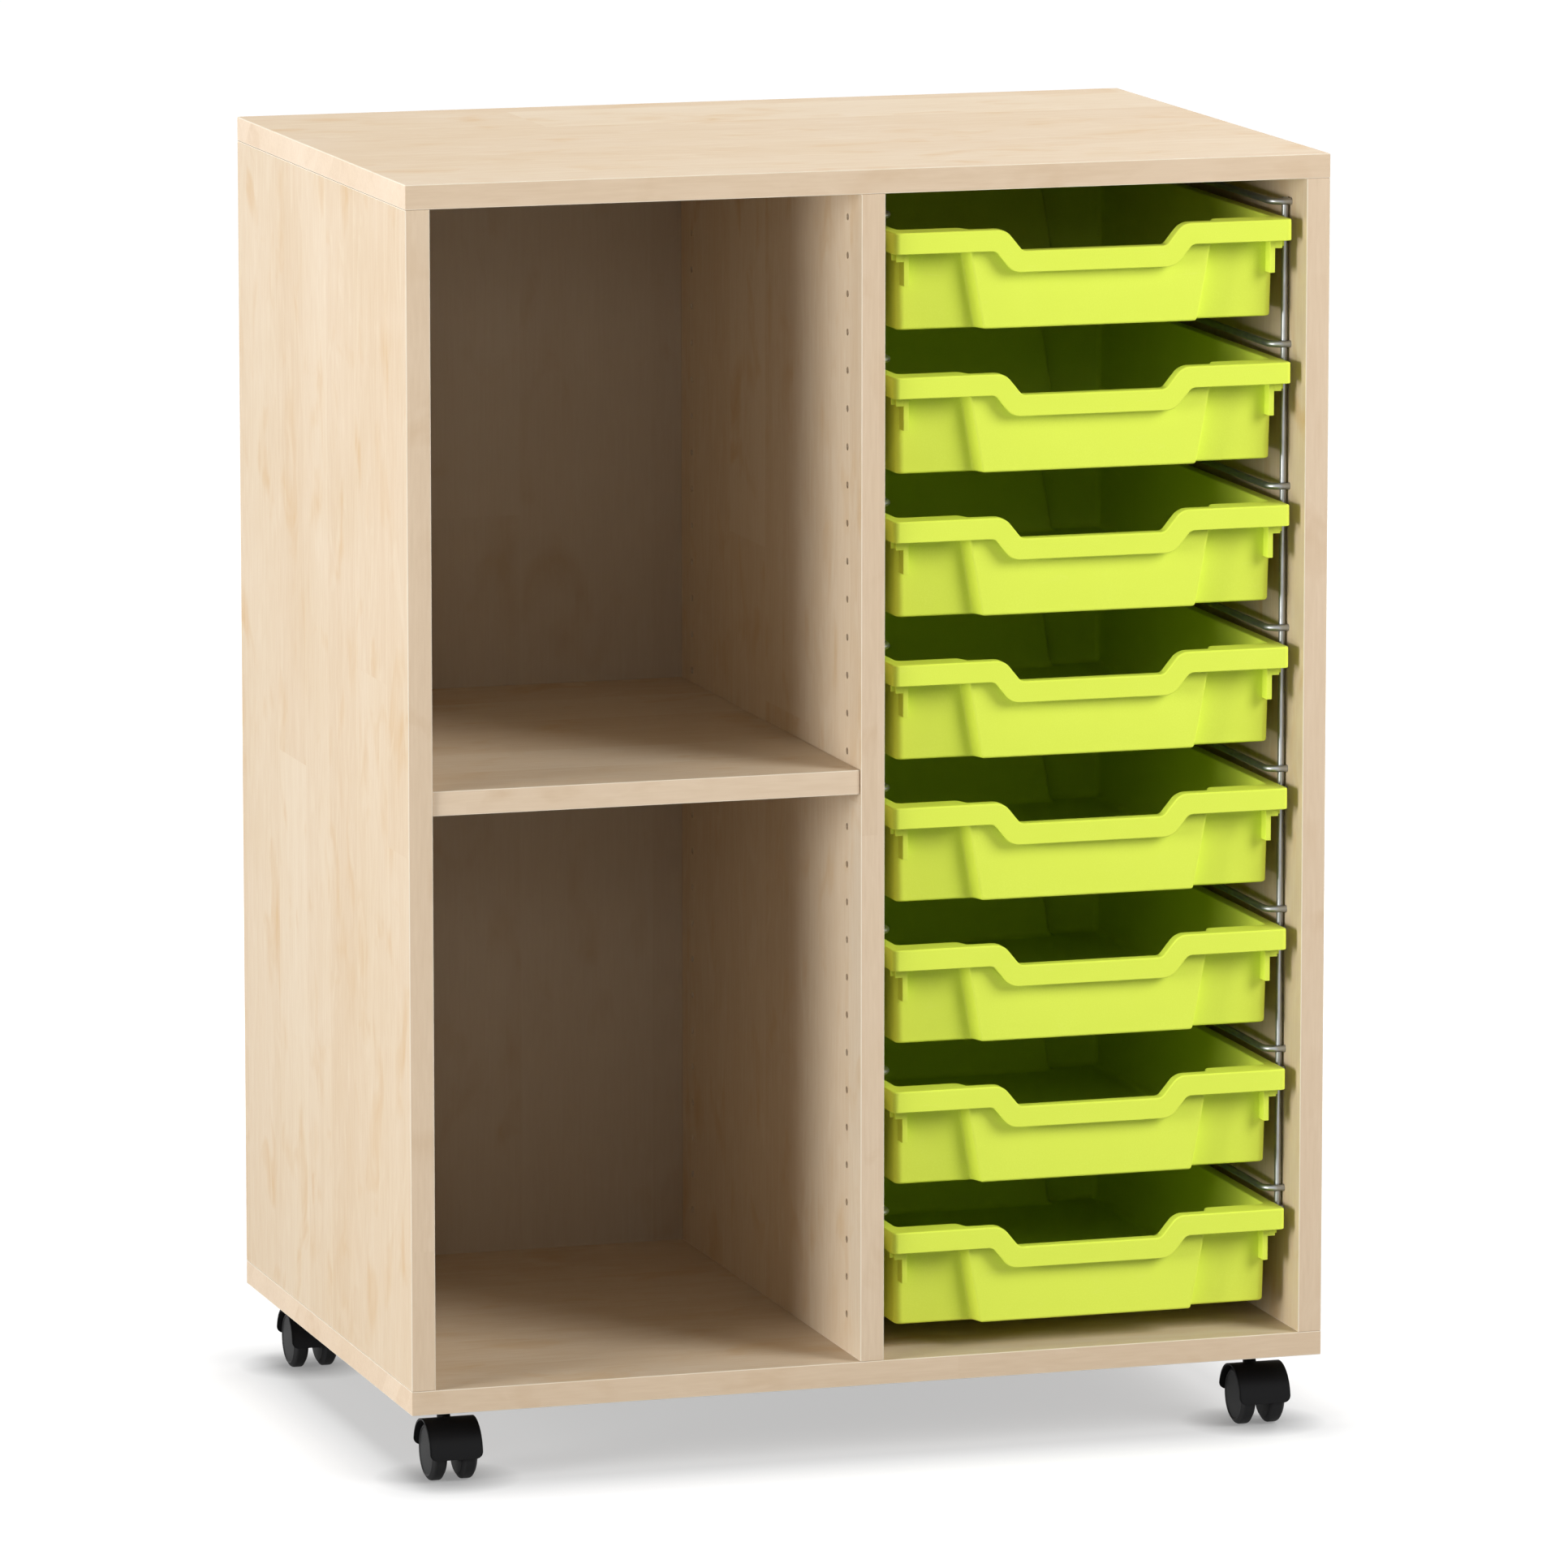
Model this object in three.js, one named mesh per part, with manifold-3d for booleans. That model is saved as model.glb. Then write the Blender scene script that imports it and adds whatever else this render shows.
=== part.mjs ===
// A mobile classroom tray storage unit: a board carcass with an open shelf bay on the left and eight moulded
// trays on welded wire frames in the right bay, standing on four twin-wheel castors.
// Millimetres, +Z up, front towards -Y, origin on the floor at the middle of the footprint.
import * as THREE from "three";
import { mergeVertices } from "three/addons/utils/BufferGeometryUtils.js";
import Module from "manifold-3d";

const wasm = await Module();
wasm.setup();

// Fits
const FIT = 0.3; // gap between pieces that seat on each other
const SINK = 0.5; // how far a moulded feature runs into the piece it belongs to
const OVERCUT = 1; // how far a cutting tool stands clear of the face it opens

// Boards
const BOARD_T = 18;
const BACK_T = 8;
const BACK_INSET = 17; // rear edges to the back board
const GROOVE_DEPTH = 6; // of the grooves that hold the back board
const SHELF_SETBACK = 2; // shelf front behind the carcass front

// Trays
const TRAY_COUNT = 8;
const TRAY_W = 306; // over the front band
const TRAY_L = 427;
const TRAY_H = 73.3;
const TRAY_WALL = 2.2;
const TRAY_LEAN = 1.5; // how far each wall leans in from rim to foot
const TRAY_CORNER = 6; // plan radius of the tub
const RIM_T = 3; // thickness of the flat rim
const RIM_LIP = 0.9; // rim beyond the wire that carries it
const BAND_H = 15.7; // depth of the front band
const BAND_T = 2.5;
const BAND_CORNER = 5; // plan radius of the band's corners
const END_WALL = 20; // band front to the tub's end wall
const PANEL_PROUD = 12; // raised middle panel ahead of the end wall
const PANEL_TOP = 190; // width of the raised panel at the rim
const PANEL_FOOT = 163; // and at the foot
const PANEL_FLANK = 4; // run of its flanks
const RECESS_TOP = 173; // width of the recess in the rear end wall at the rim
const RECESS_FOOT = 196; // and at the foot
const RECESS_FLANK = 2; // run of its flanks
const DIP_TOP = 136; // width of the finger dip at the rim
const DIP_FLOOR = 110; // and at its floor
const DIP_DEPTH = 15.9;
const DIP_EASE = 6.5; // reach of each eased turn of the dip
const RIB_T = 4; // corner ribs under the band
const RIB_DROP = 24.5; // foot of a rib below the band
const RIB_INSET = 2.9; // outer face of a rib inside the tub's side
const RIB_SETBACK = 10; // ribs and tabs behind the band's front
const TAB_T = 2.2; // stop tabs beside the ribs
const TAB_W = 8.2;
const TAB_DROP = 6.5; // foot of a tab below the band

// Room around the trays
const TRAY_SETBACK = 5.5; // band behind the carcass front
const TRAY_REAR_GAP = 22.5; // tray end to the back board
const TRAY_HEADROOM = 32.1; // foot of one tray to the rim of the next
const TOP_GAP = 30; // roof of the bay to the first rim
const BOTTOM_GAP = 19.9; // foot of the last tray to the floor of the bay

// Welded wire frames
const WIRE_D = 5;
const WIRE_BEND = 9; // centre-line radius of the bends
const WIRE_WELD = 0.3; // share of a wire's thickness that melts into the wire it crosses
const UPRIGHT_GAP = 1; // upright to board
const UPRIGHT_CLEAR = 2.5; // band to upright
const RUNNER_GAP = 1; // carrying wire to the tub wall
const KEEPER_INSET = 6; // keeper wire's centre inside the rim's edge
const KEEPER_RISE = 9.9; // and above the rim

// Line-bored holes and shelf pins
const PIN_D = 5;
const PIN_LENGTH = 16;
const PIN_SINK = 1.5; // how far the pins sit in the shelf's notches
const HOLE_PITCH = 28;
const HOLE_FIRST = 20; // roof of the bay to the first hole
const HOLE_LAST = 14; // least height of the last hole above the floor of the bay
const HOLE_FRONT = 34; // carcass front to the front column
const HOLE_REAR = 28; // back board to the rear column
const HOLE_DEPTH = 9;
const HOLE_WEB = 2; // board left between holes that face each other in the divider
const SHELF_HOLE = 15; // which hole of the column holds the shelf

// Dowels
const DOWEL_D = 8;
const DOWEL_LENGTH = 30;
const DOWEL_IN_BOARD = 11; // share of a dowel that sits in the top or base
const DOWEL_INSET = 90; // from the front and rear edges

// Castors
const CASTOR_H = 57.5; // floor to base
const CASTOR_SIDE = 37.8; // stem to the side edge
const CASTOR_FRONT = 51.7; // stem to the front edge
const CASTOR_REAR = 32.3; // stem to the rear edge
const CASTOR_TRAIL = 12.2; // stem to axle
const WHEEL_D = 43.4;
const WHEEL_W = 11.9;
const WHEEL_SPACE = 11; // between the two wheels
const WHEEL_WALL = 3; // outer wall over the blind bore
const TREAD_BEVEL = 2.5; // run of the bevel at the tread's inner edge
const TREAD_DROP = 3.7; // and its fall
const TREAD_SHOULDER = 2.4; // run of the shoulder at the tread's outer edge
const DISC_D = 34.5; // sunk disc on the wheel's outer face
const DISC_SINK = 0.9;
const HOOD_W = 39.6;
const HOOD_T = 1.6;
const HOOD_GAP = 0.8; // hood to tread
const HOOD_FRONT_ANGLE = 186.5; // degrees from the rear horizontal, over the top
const WEB_GAP = 0.5; // web to wheel
const WEB_FOOT = 7; // web below the axle
const AXLE_D = 6;
const STEM_D = 9.7;
const STEM_CHAMFER = 1;
const STEM_NECK_D = 7.6; // inside the hood
const STEM_NECK = 13;
const BOSS_RISE = 0.4; // stem boss above the hood, at the stem's front
const SOCKET_WALL = 1.5;
const SOCKET_DEPTH = 16;

// Facets
const WIRE_SIDES = 5;
const BEND_STEPS = 2;
const HOLE_SIDES = 5;
const PEG_SIDES = 6;
const STEM_SIDES = 8;
const WHEEL_SIDES = 14;
const ARC_STEPS = 2;
const HOOD_STEPS = 9;

// Sizes that follow from the ones above
const WIRE_R = WIRE_D / 2;
const WIRE_PLUG = BOARD_T - HOLE_DEPTH - HOLE_WEB - FIT; // keeper wire in the board
const BAY_W = TRAY_W + 2 * (UPRIGHT_CLEAR + WIRE_D + UPRIGHT_GAP);
const UNIT_W = 3 * BOARD_T + 2 * BAY_W;
const UNIT_D = TRAY_SETBACK + TRAY_L + TRAY_REAR_GAP + BACK_T + BACK_INSET;
const TRAY_PITCH = TRAY_H + TRAY_HEADROOM;
const INNER_H = TOP_GAP + (TRAY_COUNT - 1) * TRAY_PITCH + TRAY_H + BOTTOM_GAP;
const FRONT = -UNIT_D / 2;
const REAR = UNIT_D / 2;
const SIDE = UNIT_W / 2;
const BAY_FLOOR = CASTOR_H + BOARD_T;
const BAY_ROOF = BAY_FLOOR + INNER_H;
const BACK_FACE = REAR - BACK_INSET - BACK_T;
const BAY_MIDDLE = BOARD_T / 2 + BAY_W / 2;
const FRONT_HOLES = FRONT + HOLE_FRONT;
const REAR_HOLES = BACK_FACE - HOLE_REAR;
const SHELF_HOLE_Z = BAY_ROOF - HOLE_FIRST - SHELF_HOLE * HOLE_PITCH;
const RIM_HALF = TRAY_W / 2 - SINK; // rim behind the band's returns
const KEEPER_HALF = TRAY_W / 2 - KEEPER_INSET;
const CARRIER_HALF = RIM_HALF - RIM_LIP - WIRE_R;
const CARRIER_DROP = RIM_T + FIT + WIRE_R;
const TUB_HALF = CARRIER_HALF - WIRE_R - RUNNER_GAP;
const RIB_OUT = TUB_HALF - RIB_INSET;
const BAND_RETURN = HOLE_FRONT - WIRE_R - TRAY_SETBACK - FIT;

// A closed triangle mesh as a solid that can be joined and cut.
function solid(geometry) {
  const bare = geometry.clone();
  bare.deleteAttribute("normal");
  bare.deleteAttribute("uv");
  const merged = mergeVertices(bare);
  const corners = merged.index.array;
  const kept = [];
  for (let i = 0; i < corners.length; i += 3) {
    const [a, b, c] = corners.subarray(i, i + 3);
    if (a !== b && b !== c && c !== a) kept.push(a, b, c);
  }
  const vertProperties = new Float32Array(merged.attributes.position.array);
  const triVerts = new Uint32Array(kept);
  return new wasm.Manifold(new wasm.Mesh({ numProp: 3, vertProperties, triVerts }));
}

// A solid's surface as geometry for a mesh.
function surface(body) {
  const { vertProperties, triVerts } = body.getMesh();
  const geometry = new THREE.BufferGeometry();
  geometry.setAttribute("position", new THREE.BufferAttribute(vertProperties, 3));
  geometry.setIndex(new THREE.BufferAttribute(triVerts, 1));
  geometry.computeVertexNormals();
  return geometry;
}

// A rectangular block between two corners.
function block([x0, y0, z0], [x1, y1, z1]) {
  const geometry = new THREE.BoxGeometry(x1 - x0, y1 - y0, z1 - z0);
  geometry.translate((x0 + x1) / 2, (y0 + y1) / 2, (z0 + z1) / 2);
  return solid(geometry);
}

// A round rod from one point to another that lies along X or Z from it.
function rod(radius, sides, from, to) {
  const start = new THREE.Vector3(...from);
  const run = new THREE.Vector3(...to).sub(start);
  const geometry = new THREE.CylinderGeometry(radius, radius, run.length(), sides);
  const turn = new THREE.Quaternion();
  turn.setFromUnitVectors(new THREE.Vector3(0, 1, 0), run.clone().normalize());
  geometry.applyQuaternion(turn);
  geometry.translate(...start.addScaledVector(run, 0.5).toArray());
  return solid(geometry);
}

// A closed outline carried along Z, or along Y or X from an outline drawn on XZ or YZ.
function prism(outline, axis, from, to) {
  const geometry = new THREE.ExtrudeGeometry(new THREE.Shape(outline), {
    depth: to - from,
    bevelEnabled: false,
  });
  const x = new THREE.Vector3(1, 0, 0);
  const y = new THREE.Vector3(0, 1, 0);
  const z = new THREE.Vector3(0, 0, 1);
  const place = new THREE.Matrix4();
  if (axis === "x") place.makeBasis(y, z, x).setPosition(from, 0, 0);
  if (axis === "y") place.makeBasis(x, z, y.negate()).setPosition(0, to, 0);
  if (axis === "z") place.setPosition(0, 0, from);
  return solid(geometry.applyMatrix4(place));
}

// A loft between two outlines with as many points each.
function loft(lower, upper, z0, z1) {
  const count = lower.length;
  const corners = [];
  lower.forEach((p) => corners.push(p.x, p.y, z0));
  upper.forEach((p) => corners.push(p.x, p.y, z1));
  const faces = [];
  for (let i = 0; i < count; i += 1) {
    const next = (i + 1) % count;
    faces.push(i, next, count + next, i, count + next, count + i);
  }
  THREE.ShapeUtils.triangulateShape(lower, []).forEach(([a, b, c]) => faces.push(a, c, b));
  THREE.ShapeUtils.triangulateShape(upper, []).forEach((face) => faces.push(...face.map((k) => k + count)));
  const geometry = new THREE.BufferGeometry();
  geometry.setAttribute("position", new THREE.Float32BufferAttribute(corners, 3));
  geometry.setIndex(faces);
  return solid(geometry);
}

// Points of an arc, angles in degrees.
function arc(x, y, radius, from, to, steps) {
  return Array.from({ length: steps + 1 }, (_, i) => {
    const angle = THREE.MathUtils.degToRad(from + ((to - from) * i) / steps);
    return new THREE.Vector2(x + radius * Math.cos(angle), y + radius * Math.sin(angle));
  });
}

// A wire's centre line: straight runs joined by round bends, held as places with their directions.
class BentWire extends THREE.Curve {
  constructor(places) {
    super();
    this.places = places;
  }

  at(t) {
    return this.places[Math.round(t * (this.places.length - 1))];
  }

  getPoint(t) {
    return this.at(t).point.clone();
  }

  getPointAt(t) {
    return this.getPoint(t);
  }

  getTangentAt(t) {
    return this.at(t).direction.clone();
  }
}

// Joins a list of solids into one.
function join(bodies) {
  return bodies.reduce((all, body) => all.add(body));
}

// Cuts a list of solids out of a body.
function cut(body, tools) {
  return tools.length ? body.subtract(join(tools)) : body;
}

const group = new THREE.Group();

const FINISHES = {
  maple: { color: 0xecd7b4, roughness: 0.5, metalness: 0 },
  beech: { color: 0xd9bd8c, roughness: 0.7, metalness: 0 },
  lime: { color: 0xd6ee5a, roughness: 0.42, metalness: 0 },
  steel: { color: 0x6e7073, roughness: 0.32, metalness: 0.9 },
  black: { color: 0x1b1b1c, roughness: 0.45, metalness: 0 },
  zinc: { color: 0x9a9c9e, roughness: 0.35, metalness: 0.9 },
};

// Adds one named piece to a group.
function piece(parent, name, geometry, finish) {
  const mesh = new THREE.Mesh(geometry, new THREE.MeshStandardMaterial(FINISHES[finish]));
  mesh.name = name;
  parent.add(mesh);
  return mesh;
}

// Heights of the line-bored holes, from the roof of the bay down.
function holeHeights() {
  const count = Math.floor((INNER_H - HOLE_FIRST - HOLE_LAST) / HOLE_PITCH) + 1;
  return Array.from({ length: count }, (_, i) => BAY_ROOF - HOLE_FIRST - i * HOLE_PITCH);
}

// A blind hole along X in a board face; inward is the direction into the board.
function blindHole(radius, faceX, inward, depth, y, z) {
  return rod(radius, HOLE_SIDES, [faceX - inward * OVERCUT, y, z], [faceX + inward * depth, y, z]);
}

// The two columns of shelf holes in a board face.
function shelfHoles(faceX, inward) {
  const radius = PIN_D / 2 + FIT;
  return [FRONT_HOLES, REAR_HOLES].flatMap((y) =>
    holeHeights().map((z) => blindHole(radius, faceX, inward, HOLE_DEPTH, y, z)),
  );
}

// Rim height of a tray, counted from the top.
function rimZ(index) {
  return BAY_ROOF - TOP_GAP - index * TRAY_PITCH;
}

// The holes in a board face that take the ends of the keeper wires.
function keeperHoles(faceX, inward) {
  const radius = (WIRE_R + FIT) / Math.cos(Math.PI / HOLE_SIDES);
  const heights = Array.from({ length: TRAY_COUNT }, (_, i) => rimZ(i) + KEEPER_RISE);
  return [FRONT_HOLES, REAR_HOLES].flatMap((y) =>
    heights.map((z) => blindHole(radius, faceX, inward, WIRE_PLUG + FIT, y, z)),
  );
}

const UPRIGHT_BOARDS = [-SIDE + BOARD_T / 2, 0, SIDE - BOARD_T / 2];

// Every dowel: where it stands, and the heights of its ends.
function dowelPlaces() {
  const atTop = [BAY_ROOF + DOWEL_IN_BOARD - DOWEL_LENGTH, BAY_ROOF + DOWEL_IN_BOARD];
  const atBase = [BAY_FLOOR - DOWEL_IN_BOARD, BAY_FLOOR - DOWEL_IN_BOARD + DOWEL_LENGTH];
  const depths = [FRONT + DOWEL_INSET, REAR - DOWEL_INSET];
  const feet = UPRIGHT_BOARDS.flatMap((x) => depths.map((y) => ({ x, y })));
  return feet.flatMap((foot) => [atTop, atBase].map(([z0, z1]) => ({ ...foot, z0, z1 })));
}

// The dowel holes that reach into a board between two heights, and between two places along X.
function dowelHoles(x0, x1, z0, z1) {
  return dowelPlaces()
    .filter((d) => d.x > x0 && d.x < x1 && d.z1 > z0 && d.z0 < z1)
    .map((d) => rod(DOWEL_D / 2 + FIT, PEG_SIDES, [d.x, d.y, d.z0 - FIT], [d.x, d.y, d.z1 + FIT]));
}

// The space that the back board takes up, with its running gap, as one cutting block.
function backGroove() {
  const reach = GROOVE_DEPTH + FIT;
  const half = SIDE - BOARD_T + reach;
  const front = BACK_FACE - FIT;
  return block([-half, front, BAY_FLOOR - reach], [half, front + BACK_T + 2 * FIT, BAY_ROOF + reach]);
}

// Stem positions, front left first, then front right, rear left and rear right.
function castorPlaces() {
  const x = SIDE - CASTOR_SIDE;
  return [FRONT + CASTOR_FRONT, REAR - CASTOR_REAR].flatMap((y) => [-x, x].map((side) => [side, y]));
}

const SOCKET_R = STEM_D / 2 + FIT + SOCKET_WALL;

function topPanel() {
  const board = block([-SIDE, FRONT, BAY_ROOF], [SIDE, REAR, BAY_ROOF + BOARD_T]);
  return cut(board, [backGroove(), ...dowelHoles(-SIDE, SIDE, BAY_ROOF, BAY_ROOF + BOARD_T)]);
}

function basePanel() {
  const board = block([-SIDE, FRONT, CASTOR_H], [SIDE, REAR, BAY_FLOOR]);
  const sockets = castorPlaces().map(([x, y]) =>
    rod(SOCKET_R + FIT, STEM_SIDES, [x, y, CASTOR_H - OVERCUT], [x, y, CASTOR_H + SOCKET_DEPTH + FIT]),
  );
  return cut(board, [backGroove(), ...sockets, ...dowelHoles(-SIDE, SIDE, CASTOR_H, BAY_FLOOR)]);
}

// An upright board between base and top; rear is where its rear edge stands.
function uprightBoard(x0, rear, tools) {
  const board = block([x0, FRONT, BAY_FLOOR + FIT], [x0 + BOARD_T, rear, BAY_ROOF - FIT]);
  return cut(board, [...tools, ...dowelHoles(x0, x0 + BOARD_T, BAY_FLOOR, BAY_ROOF)]);
}

function leftSidePanel() {
  const face = -SIDE + BOARD_T;
  return uprightBoard(-SIDE, REAR, [backGroove(), ...shelfHoles(face, -1)]);
}

function rightSidePanel() {
  const face = SIDE - BOARD_T;
  return uprightBoard(face, REAR, [backGroove(), ...keeperHoles(face, 1)]);
}

function dividerPanel() {
  const half = BOARD_T / 2;
  return uprightBoard(-half, BACK_FACE - FIT, [...shelfHoles(-half, 1), ...keeperHoles(half, -1)]);
}

function backPanel() {
  const half = SIDE - BOARD_T + GROOVE_DEPTH;
  const from = [-half, BACK_FACE, BAY_FLOOR - GROOVE_DEPTH];
  return block(from, [half, BACK_FACE + BACK_T, BAY_ROOF + GROOVE_DEPTH]);
}

// Shelf pins: each stands half in a board, with its other half in a notch under the shelf.
function pinPlaces() {
  const faces = [
    { x: -SIDE + BOARD_T, inward: -1 },
    { x: -BOARD_T / 2, inward: 1 },
  ];
  return faces.flatMap((face) => [FRONT_HOLES, REAR_HOLES].map((y) => ({ ...face, y })));
}

function shelfPin({ x, y, inward }) {
  const inner = x + inward * (HOLE_DEPTH - FIT);
  return rod(PIN_D / 2, HOLE_SIDES, [inner, y, SHELF_HOLE_Z], [inner - inward * PIN_LENGTH, y, SHELF_HOLE_Z]);
}

function shelf() {
  const left = -SIDE + BOARD_T + FIT;
  const right = -BOARD_T / 2 - FIT;
  const foot = SHELF_HOLE_Z + PIN_D / 2 - PIN_SINK;
  const board = block([left, FRONT + SHELF_SETBACK, foot], [right, BACK_FACE - FIT, foot + BOARD_T]);
  const reach = PIN_LENGTH - HOLE_DEPTH + 2 * FIT;
  const half = PIN_D / 2 + FIT;
  const notches = pinPlaces().map(({ x, y, inward }) => {
    const ends = [x + inward * OVERCUT, x - inward * reach].sort((a, b) => a - b);
    return block([ends[0], y - half, foot - half], [ends[1], y + half, foot + PIN_SINK + FIT]);
  });
  return cut(board, notches);
}

// One wire bent into a flat U: in from the board, back along the tray and out to the board again.
function runnerWire(side, half, z, plug) {
  const turnX = half + WIRE_BEND;
  const endX = BAY_W / 2 + plug;
  const place = (x, y, dx, dy) => ({
    point: new THREE.Vector3(side * x, y, z),
    direction: new THREE.Vector3(side * dx, dy, 0),
  });
  const places = [place(endX, FRONT_HOLES, -1, 0)];
  for (let i = 0; i <= BEND_STEPS; i += 1) {
    const a = (Math.PI / 2) * (i / BEND_STEPS);
    const [s, c] = [Math.sin(a), Math.cos(a)];
    places.push(place(turnX - WIRE_BEND * s, FRONT_HOLES + WIRE_BEND * (1 - c), -c, s));
  }
  for (let i = 0; i <= BEND_STEPS; i += 1) {
    const a = (Math.PI / 2) * (i / BEND_STEPS);
    const [s, c] = [Math.sin(a), Math.cos(a)];
    places.push(place(turnX - WIRE_BEND * c, REAR_HOLES - WIRE_BEND * (1 - s), s, c));
  }
  places.push(place(endX, REAR_HOLES, 1, 0));
  const section = arc(0, 0, WIRE_R, 0, 360 - 360 / WIRE_SIDES, WIRE_SIDES - 1);
  return solid(
    new THREE.ExtrudeGeometry(new THREE.Shape(section), {
      steps: places.length - 1,
      extrudePath: new BentWire(places),
      bevelEnabled: false,
    }),
  );
}

// A welded frame: two uprights by the board, and at each tray a keeper wire and a carrying wire.
function wireFrame(side) {
  const x = side * (BAY_W / 2 - UPRIGHT_GAP - WIRE_R);
  const reach = WIRE_D * (1 - WIRE_WELD);
  const top = rimZ(0) + KEEPER_RISE + WIRE_R + SINK;
  const foot = rimZ(TRAY_COUNT - 1) - CARRIER_DROP - WIRE_R - SINK;
  const upright = (y) => rod(WIRE_R, WIRE_SIDES, [x, y, foot], [x, y, top]);
  const wires = [upright(FRONT_HOLES + reach), upright(REAR_HOLES - reach)];
  for (let i = 0; i < TRAY_COUNT; i += 1) {
    wires.push(runnerWire(side, KEEPER_HALF, rimZ(i) + KEEPER_RISE, WIRE_PLUG));
    wires.push(runnerWire(side, CARRIER_HALF, rimZ(i) - CARRIER_DROP, -FIT));
  }
  return join(wires);
}

// Plan of the tub at some depth below the rim: a rounded rectangle with a raised panel on the front wall and a recess
// as deep in the rear wall.
function tubPlan(inset, depth) {
  const share = depth / TRAY_H;
  const lean = TRAY_LEAN * share;
  const half = TUB_HALF - lean - inset;
  const front = END_WALL + lean + inset;
  const rear = TRAY_L - front;
  const radius = TRAY_CORNER - inset;
  const panel = (PANEL_TOP + (PANEL_FOOT - PANEL_TOP) * share) / 2 - inset;
  const foot = panel + PANEL_FLANK;
  const recess = (RECESS_TOP + (RECESS_FOOT - RECESS_TOP) * share) / 2 + inset;
  const mouth = recess + RECESS_FLANK;
  const at = (x, y) => new THREE.Vector2(x, y);
  return [
    ...arc(radius - half, front + radius, radius, 180, 270, ARC_STEPS),
    at(-foot, front),
    at(-panel, front - PANEL_PROUD),
    at(panel, front - PANEL_PROUD),
    at(foot, front),
    ...arc(half - radius, front + radius, radius, 270, 360, ARC_STEPS),
    ...arc(half - radius, rear - radius, radius, 0, 90, ARC_STEPS),
    at(mouth, rear),
    at(recess, rear - PANEL_PROUD),
    at(-recess, rear - PANEL_PROUD),
    at(-mouth, rear),
    ...arc(radius - half, rear - radius, radius, 90, 180, ARC_STEPS),
  ];
}

// The line of the rim across the finger dip, with eased turns, moved by drop down and off its slopes.
function dipLine(drop) {
  const end = TRAY_W / 2 - BAND_CORNER;
  const slope = Math.atan2(DIP_DEPTH, (DIP_TOP - DIP_FLOOR) / 2);
  const out = drop * Math.tan(slope / 2);
  const [top, floor] = [DIP_TOP / 2 + out, DIP_FLOOR / 2 + out];
  const corners = [
    [-end, 0],
    [-top, 0],
    [-floor, -DIP_DEPTH],
    [floor, -DIP_DEPTH],
    [top, 0],
    [end, 0],
  ].map(([x, z]) => new THREE.Vector2(x, z - drop));
  return corners.slice(1, -1).flatMap((corner, i) =>
    [corners[i], corners[i + 2]].map((near) => near.clone().sub(corner).setLength(DIP_EASE).add(corner)),
  );
}

// A strip that follows the dip, as thick from top to bottom as given, out to two ends.
function dipStrip(thick, end) {
  const edge = (drop) => [new THREE.Vector2(-end, -drop), ...dipLine(drop), new THREE.Vector2(end, -drop)];
  return [...edge(thick), ...edge(0).reverse()];
}

// Plan of the band's corner and its short return along one side.
function bandCorner(side) {
  const bend = (inset) => [
    ...arc(TRAY_W / 2 - BAND_CORNER, BAND_CORNER, BAND_CORNER - inset, 270, 360, ARC_STEPS),
    new THREE.Vector2(TRAY_W / 2 - inset, BAND_RETURN),
  ];
  return [...bend(0), ...bend(BAND_T).reverse()].map((p) => new THREE.Vector2(side * p.x, p.y));
}

// Plan of the flat rim inside the band, narrower behind the band's returns.
function rimPlan() {
  const inset = BAND_T - SINK;
  const end = BAND_RETURN - SINK;
  const right = [
    ...arc(TRAY_W / 2 - BAND_CORNER, BAND_CORNER, BAND_CORNER - inset, 270, 360, ARC_STEPS),
    new THREE.Vector2(TRAY_W / 2 - inset, end),
    new THREE.Vector2(RIM_HALF, end),
    ...arc(RIM_HALF - BAND_CORNER, TRAY_L - BAND_CORNER, BAND_CORNER, 0, 90, ARC_STEPS),
  ];
  const left = right.map((p) => new THREE.Vector2(-p.x, p.y)).reverse();
  return [...right, ...left];
}

// A corner rib under the band with its stop tab, on one side.
function cornerRib(side) {
  const span = (a, b) => [side * a, side * b].sort((p, q) => p - q);
  const [rib0, rib1] = span(RIB_OUT - RIB_T, RIB_OUT);
  const [tab0, tab1] = span(RIB_OUT - RIB_T / 2, RIB_OUT + TAB_W);
  const high = -RIM_T + SINK;
  return [
    block([rib0, RIB_SETBACK, -BAND_H - RIB_DROP], [rib1, END_WALL + TRAY_CORNER, high]),
    block([tab0, RIB_SETBACK, -BAND_H - TAB_DROP], [tab1, RIB_SETBACK + TAB_T, high]),
  ];
}

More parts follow.
